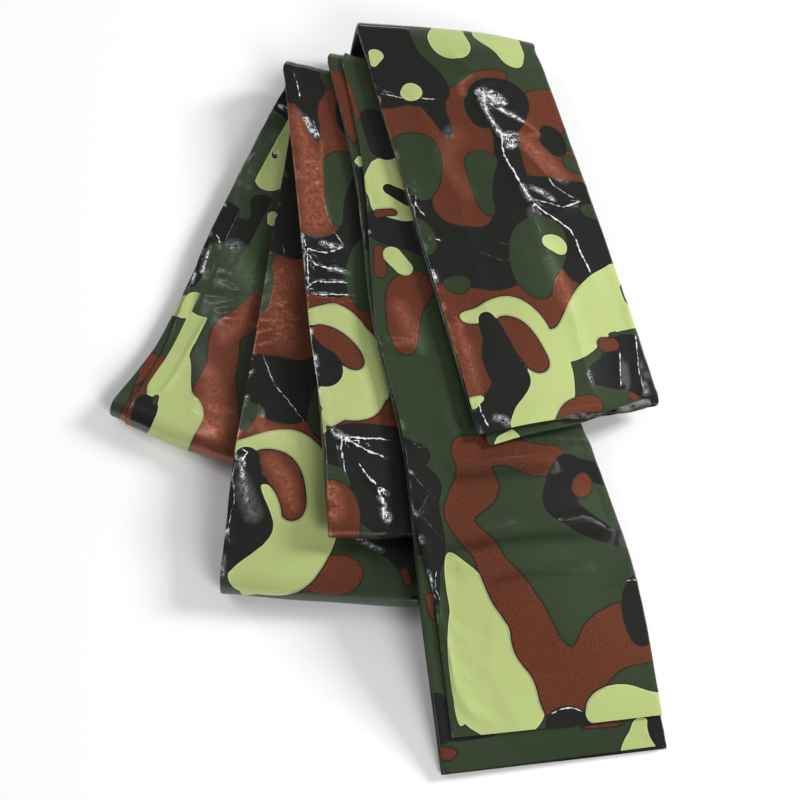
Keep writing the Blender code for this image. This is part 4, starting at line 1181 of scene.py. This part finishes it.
def outer_leaf(name, leaf, visible, print_of, facing):
    """One outer leaf with its relief and print; its edges turn in toward the stack."""
    fine = [part for row in visible for part in (row.lay, *row.turns)]
    runs = trimmed(runs_of(fine), leaf)
    shares = np.linspace(0.0, 1.0, FINE_COLUMNS)
    surface = surface_at(runs, shares)
    side, normal, along = frame_of(surface)
    u = shares * WIDTH
    rise, masks = face_relief(visible, runs, u, surface)
    offset = facing * (STACK / 2 - 0.05 * MM + rise * MM)
    sheet = surface + normal * offset[..., None] + along * ragged(runs, u, leaf)[..., None]
    edge = wander(runs, leaf)[:, None] * 0.35
    left_move = side[:, 0] * (edge + (loose_inset(runs)[:, None] if leaf == 0 else 0.0))
    right_move = side[:, -1] * (wander(runs, leaf + 20)[:, None] * 0.35)
    fade = np.clip(1 - u / 10.0, 0, 1)
    sheet += left_move[:, None] * fade[None, :, None]
    sheet += right_move[:, None] * fade[::-1][None, :, None]
    left, right = [], []
    for down, inward in zip(TUCK[1:], TUCK_IN[1:]):
        into = -facing * normal * (2 * down * MM)
        left.insert(0, sheet[:, 0] + into[:, 0] + side[:, 0] * inward * MM)
        right.append(sheet[:, -1] + into[:, -1] - side[:, -1] * inward * MM)
    path = np.stack((*left, *sheet.swapaxes(0, 1), *right), 1)
    extra = np.array(TUCK_IN[1:])
    across = np.concatenate((-extra[::-1] - 1.0, u, WIDTH + 1.0 + extra))
    inks = print_of(runs, across)
    pad = ((0, 0), (len(left), len(right)))
    masks = {**inks, **{mask: np.pad(values, pad, mode="edge") for mask, values in masks.items()}}
    masks["silver"] = np.zeros(path.shape[:2])
    uv = np.dstack(np.meshgrid(across * MM, runs))
    return sheet_piece(name, path, uv, masks, facing)


film_front = outer_leaf("film_front", LEAVES - 1, FRONT_LAYS, front_print, 1)
film_back = outer_leaf("film_back", 0, BACK_LAYS, back_print, -1)

# %% The pleats between them
PLEAT_COLUMNS = (0.0, 0.012, 0.03, 0.045, 0.1, 0.18, 0.23, 0.245, 0.34, 0.42, 0.5, 0.58, 0.66, 0.74, 0.79, 0.825, 0.86, 0.89, 0.92, 0.95, 0.975, 0.988, 1.0)
END_RUNS = np.array((0.0, 1.0, 2.0, 3.5, 5.5, 8.0, 10.5, 13.0, 15.5)) * MM
SILVER_UP = (3, 5, 7)
SLIP = 24.0


def pleats(name):
    """The inner leaves, one path that turns over at alternate edges."""
    runs = runs_of((), plain=9.0 * MM)
    runs = np.unique(np.concatenate((runs, END_RUNS, RUN[-1] - END_RUNS)))
    surface = surface_at(runs, np.array(PLEAT_COLUMNS))
    side, normal, along = frame_of(surface)
    u = np.array(PLEAT_COLUMNS) * WIDTH
    columns, across, seen_at, of_leaf, silver = [], [], [], [], []
    for leaf in range(1, LEAVES - 1):
        offset = (leaf - (LEAVES - 1) / 2) * PITCH
        sheet = surface + normal * offset
        begin, end = UPPER_CUT[leaf] * MM, RUN[-1] - LOWER_CUT[leaf] * MM
        held = smooth_through(sheet, runs, np.clip(runs, begin, end))
        held += along * ragged(np.maximum(runs, begin), u, leaf)[..., None]
        left = wander(runs, leaf)[:, None]
        right = wander(runs, leaf + 20)[:, None]
        held[:, :3] += side[:, :1] * (left + 0.5 * MM)[:, None]
        held[:, -3:] += side[:, -1:] * (right - 0.5 * MM)[:, None]
        order = range(len(u)) if leaf % 2 == 0 else range(len(u) - 1, -1, -1)
        near_end = np.clip(1.5 - (runs - begin) / (4.0 * MM), 0, 1)
        for column in order:
            columns.append(held[:, column])
            across.append(u[column])
            seen_at.append(u[column] + SLIP * leaf)
            of_leaf.append(leaf)
            silver.append(near_end * (1.0 if leaf in SILVER_UP and u[column] > 34.0 else 0.0))
        if leaf + 1 < LEAVES - 1:
            edge = order[-1]
            outward = side[:, edge] if edge else -side[:, edge]
            columns.append(held[:, edge] + (normal[:, edge] + outward) * PITCH / 2)
            across.append(u[edge])
            seen_at.append(u[edge] + SLIP * leaf)
            of_leaf.append(leaf)
            silver.append(silver[-1])
    path = np.stack(columns, 1)
    across, seen_at = np.array(across), np.array(seen_at)
    inks, back = front_print(runs, seen_at), back_print(runs, across)
    ledge = np.flatnonzero(RUN[-1] - runs < 90.0 * MM)
    over_ledge = np.repeat(across[None, :], len(ledge), 0)
    v = np.repeat((RUN[-1] - runs[ledge])[:, None] / MM, len(across), 1)
    on_ledge = printed(LEDGE_PRINT, over_ledge, v)
    upper = np.flatnonzero(runs < 12.0 * MM)
    over_end = np.repeat(across[None, :], len(upper), 0)
    at_end = printed(END_PRINT, over_end, np.repeat(runs[upper][:, None] / MM, len(across), 1))
    beside_long = np.flatnonzero((runs > BEGIN["long"]) & (runs < END["long"]))
    v = np.repeat((END["long"] - runs[beside_long])[:, None] / MM, len(across), 1)
    strip = printed(BESIDE_PRINT, np.repeat(across[None, :], len(beside_long), 0), v,
                    {ink: back[ink][beside_long] for ink in INKS})
    for ink in INKS:
        back[ink][beside_long] = strip[ink]
    under_back = (np.array(of_leaf) == 1)[None, :] & (runs > END["top"])[:, None]
    for ink in INKS:
        back[ink][ledge] = on_ledge[ink]
        inks[ink] = np.where(under_back, back[ink], inks[ink])
        inks[ink][upper] = at_end[ink]
    uv = np.dstack(np.meshgrid(across * MM, runs))
    plain = np.zeros(path.shape[:2])
    masks = {**inks, "silver": np.stack(silver, 1), "crumpled": plain + 0.3, "painted_glint_shade": plain}
    masks.update({"crease_side": plain + FAR, "crease_highlight_width": plain})
    return sheet_piece(name, path, uv, masks, 1)


film_pleats = pleats("film_pleats")

# %% [markdown]
# ## The finish: ink on metallised film
#
# Every ink lies on the same glossy film, but they don't look alike. The brown one is thin, so
# the metal under it shines through like copper; black is deep and mirror-smooth; the two
# greens are satin. Along hard creases a hair line of painted highlight is put into the colour, where the film is
# crushed patches of painted glints, and across a few folds bands of painted shade.
# The shader reads the ink distances from the mesh and turns each into a sharp edge. To keep
# its arithmetic readable, a small class lets us write it as ordinary Python expressions.

# %% Shader arithmetic as Python
class Wire:
    """The output of a shader node, as a value in an expression."""

    tree = None

    def __init__(self, socket):
        self.socket = socket

    @classmethod
    def node(cls, kind, settings=None, inputs=None, output=0):
        """Any node: its settings first, then its sockets' values or links."""
        made = cls.tree.nodes.new(kind)
        for name, value in (settings or {}).items():
            setattr(made, name, value)
        for name, value in (inputs or {}).items():
            if isinstance(value, Wire):
                cls.tree.links.new(value.socket, made.inputs[name])
            else:
                made.inputs[name].default_value = value
        return cls(made.outputs[output])

    def math(self, operation, other=0.0, flip=False, clamp=False):
        first, second = (other, self) if flip else (self, other)
        settings = {"operation": operation, "use_clamp": clamp}
        return Wire.node("ShaderNodeMath", settings, {0: first, 1: second})

    def __add__(self, other):
        return self.math("ADD", other)

    __radd__ = __add__

    def __sub__(self, other):
        return self.math("SUBTRACT", other)

    def __rsub__(self, other):
        return self.math("SUBTRACT", other, flip=True)

    def __mul__(self, other):
        return self.math("MULTIPLY", other)

    __rmul__ = __mul__

    def __truediv__(self, other):
        return self.math("DIVIDE", other)

    def __abs__(self):
        return self.math("ABSOLUTE")

    def clamped(self):
        return self.math("ADD", 0.0, clamp=True)

    def vector(self, operation, other=None, scale=1.0):
        """Vector arithmetic on this vector."""
        inputs = {"Scale": scale} if operation == "SCALE" else {}
        inputs[0] = self
        if other is not None:
            inputs[1] = other
        return Wire.node("ShaderNodeVectorMath", {"operation": operation}, inputs)

    def mixed(self, other, share):
        """This colour, turned into another by a share."""
        inputs = {"Factor": share, "A": self, "B": other}
        return Wire.colour_mix(inputs)

    @classmethod
    def colour_mix(cls, inputs):
        made = cls.tree.nodes.new("ShaderNodeMix")
        made.data_type = "RGBA"
        for name, value in inputs.items():
            socket = next(s for s in made.inputs if s.name == name and s.enabled)
            if isinstance(value, Wire):
                cls.tree.links.new(value.socket, socket)
            else:
                socket.default_value = value
        return cls(next(s for s in made.outputs if s.enabled))


def ink_colour(red, green, blue):
    """A colour given in the usual 0 to 255 steps, as the linear one that shaders use."""
    steps = np.array((red, green, blue)) / 255
    linear = np.where(steps <= 0.04045, steps / 12.92, ((steps + 0.055) / 1.055) ** 2.4)
    return (*linear.tolist(), 1.0)


# %% The inks
GREEN = ink_colour(57, 69, 49)
DEEP_GREEN = ink_colour(47, 58, 41)
BROWN = ink_colour(117, 66, 50)
PALE_BROWN = ink_colour(152, 90, 67)
BLACK = ink_colour(39, 39, 38)
LIGHT = ink_colour(178, 192, 124)
DEEP_LIGHT = ink_colour(170, 183, 116)
OUTLINE = ink_colour(40, 36, 32)
# Painted shade, and the painted highlight colours that crease lines and glints take on green, brown, black and light
# ink.
PAINTED_SHADE = ink_colour(14, 20, 13)
RIM = ink_colour(206, 214, 166)
PAINTED_GREEN_HIGHLIGHT = ink_colour(126, 142, 118)
PAINTED_COPPER_HIGHLIGHT = ink_colour(226, 136, 108)
PAINTED_WHITE_HIGHLIGHT = ink_colour(232, 235, 236)
PAINTED_PALE_HIGHLIGHT = ink_colour(220, 230, 172)
SILVER = ink_colour(215, 216, 220)
INK_EDGE = 0.14
OUTLINE_HALF = 0.56


def film_material():
    """Printed metallised film, from the masks that each leaf's mesh carries."""
    material = bpy.data.materials.new("printed film")
    material.use_nodes = True
    tree = material.node_tree
    tree.nodes.clear()
    Wire.tree = tree
    shader = tree.nodes.new("ShaderNodeBsdfPrincipled")
    output = tree.nodes.new("ShaderNodeOutputMaterial")
    tree.links.new(shader.outputs[0], output.inputs["Surface"])

    def mask(name):
        return Wire.node("ShaderNodeAttribute", {"attribute_name": name}, output="Fac")

    def inside(distance):
        return (0.5 - distance / (2 * INK_EDGE)).clamped()

    brown_edge, black_edge, light_edge = mask("brown"), mask("black"), mask("light")
    brown, black, light = inside(brown_edge), inside(black_edge), inside(light_edge)
    film = Wire.node("ShaderNodeUVMap", {"uv_map": "Film"})

    def noise(scale, detail=2.0, roughness=0.5):
        settings = {"noise_dimensions": "2D"}
        inputs = {"Vector": film, "Scale": scale, "Detail": detail, "Roughness": roughness}
        return Wire.node("ShaderNodeTexNoise", settings, inputs)

    def tilt(scale, amount):
        """Flat facets, each turned its own way."""
        settings = {"voronoi_dimensions": "2D"}
        inputs = {"Vector": film, "Scale": scale}
        random = Wire.node("ShaderNodeTexVoronoi", settings, inputs, output="Color")
        return random.vector("SUBTRACT", (0.5, 0.5, 0.5)).vector("SCALE", scale=amount)

    grain = noise(1500.0)
    cloud = noise(22.0, 3.0)
    crumpled = mask("crumpled")
    wander_off = noise(260.0, 2.0) - 0.5
    crease = abs(mask("crease_side") + wander_off * 1.2)
    patchy = noise(420.0, 3.0) - 0.5
    fine = noise(1500.0, 2.0) - 0.5
    # A hair line of painted highlight along each crease, in the highlight colour of its ink.
    painted_crease_highlight = ((mask("crease_highlight_width") * (0.62 + 2.8 * patchy) - crease) / 0.18).clamped()
    # Painted glints: speckled patches of highlight colour. Below nought the same mask is painted shade.
    painted_glint_speckle = (0.8 + 2.0 * black) * (patchy + fine)
    painted_glint_shade = mask("painted_glint_shade")
    painted_glint = (painted_glint_shade * (0.46 + painted_glint_shade * painted_glint_speckle * 2.7)).clamped() * (painted_glint_shade * 50.0).clamped()
    painted_shade_amount = (painted_glint_shade * -1.0).clamped()

    outline = (1.6 - abs(brown_edge) / (OUTLINE_HALF * 0.7)).clamped() * (1.0 - black)
    rim = (1.5 - abs(light_edge + 0.1) / 0.2).clamped()
    ground = Wire.colour_mix({"Factor": cloud, "A": DEEP_GREEN, "B": GREEN})
    copper = Wire.colour_mix({"Factor": (0.5 + 2.6 * fine).clamped(), "A": BROWN, "B": PALE_BROWN})
    pale = Wire.colour_mix({"Factor": cloud, "A": DEEP_LIGHT, "B": LIGHT})
    colour = ground.mixed(copper, brown).mixed(BLACK, black).mixed(pale, light)
    ring = (1.5 - abs(light_edge - 0.5) / 0.24).clamped() * (1.0 - black)
    colour = colour.mixed(OUTLINE, (outline * 0.85 + ring * 0.6).clamped())
    colour = colour.mixed(RIM, rim * 0.55)
    # Painted highlights along creases and over glints, then painted shade where the glint mask is below nought.
    painted_highlight = Wire.colour_mix({"Factor": brown, "A": PAINTED_GREEN_HIGHLIGHT, "B": PAINTED_COPPER_HIGHLIGHT})
    painted_highlight = painted_highlight.mixed(PAINTED_WHITE_HIGHLIGHT, black).mixed(PAINTED_PALE_HIGHLIGHT, light)
    colour = colour.mixed(painted_highlight, (painted_crease_highlight * (0.35 + 0.55 * black) + painted_glint * (0.8 + 0.2 * black + 0.9 * brown)).clamped())
    colour = colour.mixed(PAINTED_SHADE, painted_shade_amount)
    silver = mask("silver")
    foil = Wire.colour_mix({"Factor": (4.0 * noise(170.0, 3.0) - 1.4).clamped(), "A": BLACK, "B": SILVER})
    colour = colour.mixed(foil, silver)

    roughness = 0.36 + 0.04 * light - 0.2 * black + 0.06 * (grain - 0.5)
    metal = (brown * 0.55 * (1.0 - outline) + silver * 0.9).clamped()
    height = noise(300.0, 4.0, 0.6) * (0.12 + crumpled) + 0.5 * noise(60.0, 2.0)
    bump = Wire.node("ShaderNodeBump", None, {"Strength": 0.5, "Distance": 0.0005, "Height": height})
    tilted = (crumpled * (2.2 * noise(150.0) - 0.55)).clamped()
    normal = bump.vector("ADD", tilt(420.0, tilted * 0.4)).vector("ADD", tilt(1100.0, tilted * 0.35))
    normal = normal.vector("NORMALIZE")
    coat = 0.1 + 0.45 * black + 0.3 * crumpled
    links = {"Base Color": colour, "Roughness": roughness, "Metallic": metal, "Normal": normal}
    links["Coat Weight"] = coat
    for name, wire in links.items():
        tree.links.new(wire.socket, shader.inputs[name])
    shader.inputs["IOR"].default_value = 1.5
    shader.inputs["Coat Roughness"].default_value = 0.12
    print("film material:", len(tree.nodes), "nodes")
    return material


FILM = film_material()
PIECES = (film_front, film_back, film_pleats)
for piece in PIECES:
    piece.data.materials.append(FILM)
    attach(piece, "root")
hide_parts("folded_bag")

# %% [markdown]
# ## The table and the light
#
# A pale table and soft light from the sides. Film that lies level mirrors what is behind the
# bag, above the camera's view, so nothing bright stands there: that is why the black ink looks
# black. The lamps at the sides are narrow, and they are what the creases catch.

# %% Table
TABLE = 6.0
floor_mesh = bpy.data.meshes.new("table")
bm = bmesh.new()
bmesh.ops.create_grid(bm, x_segments=1, y_segments=1, size=TABLE / 2)
bm.to_mesh(floor_mesh)
bm.free()
table = bpy.data.objects.new("table", floor_mesh)
table.location.z = -0.1 * MM
bpy.context.scene.collection.objects.link(table)
paper = bpy.data.materials.new("white paper")
paper.use_nodes = True
paper_shader = paper.node_tree.nodes["Principled BSDF"]
paper_shader.inputs["Base Color"].default_value = (0.98, 0.98, 0.98, 1.0)
paper_shader.inputs["Roughness"].default_value = 0.9
floor_mesh.materials.append(paper)

# %% Lamps and sky
Lamp = namedtuple("Lamp", "name azimuth elevation distance wide long power mirrored")
LAMPS = (
    Lamp("window", 72, 32, 1.4, 0.4, 0.4, 16.5, False),
    Lamp("near panel", 150, 34, 1.5, 0.6, 0.6, 11.0, False),
    Lamp("left panel", 285, 42, 1.5, 0.5, 0.9, 3.0, False),
    Lamp("right strip", 72, 20, 1.2, 0.06, 0.9, 0.35, True),
    Lamp("left strip", 300, 34, 1.1, 0.08, 0.9, 1.8, True),
    Lamp("far strip", 5, 16, 1.3, 0.9, 0.06, 0.9, True),
)
SKY = 0.24

for lamp in LAMPS:
    data = bpy.data.lights.new(lamp.name, "AREA")
    data.shape = "RECTANGLE"
    data.size, data.size_y = lamp.wide, lamp.long
    data.energy = lamp.power
    light = bpy.data.objects.new(lamp.name, data)
    a, e = math.radians(lamp.azimuth), math.radians(lamp.elevation)
    away = np.array((math.sin(a) * math.cos(e), math.cos(a) * math.cos(e), math.sin(e)))
    light.location = lamp.distance * away
    light.rotation_euler = (math.pi / 2 - e, 0.0, math.pi - a)
    light.visible_glossy = lamp.mirrored
    bpy.context.scene.collection.objects.link(light)

world = bpy.data.worlds.new("studio")
world.use_nodes = True
world.node_tree.nodes["Background"].inputs["Color"].default_value = (1.0, 1.0, 1.0, 1.0)
world.node_tree.nodes["Background"].inputs["Strength"].default_value = SKY
world.cycles_visibility.glossy = False
bpy.context.scene.world = world
bpy.context.scene.view_settings.view_transform = "Standard"
print("lamps:", [lamp.name for lamp in LAMPS])
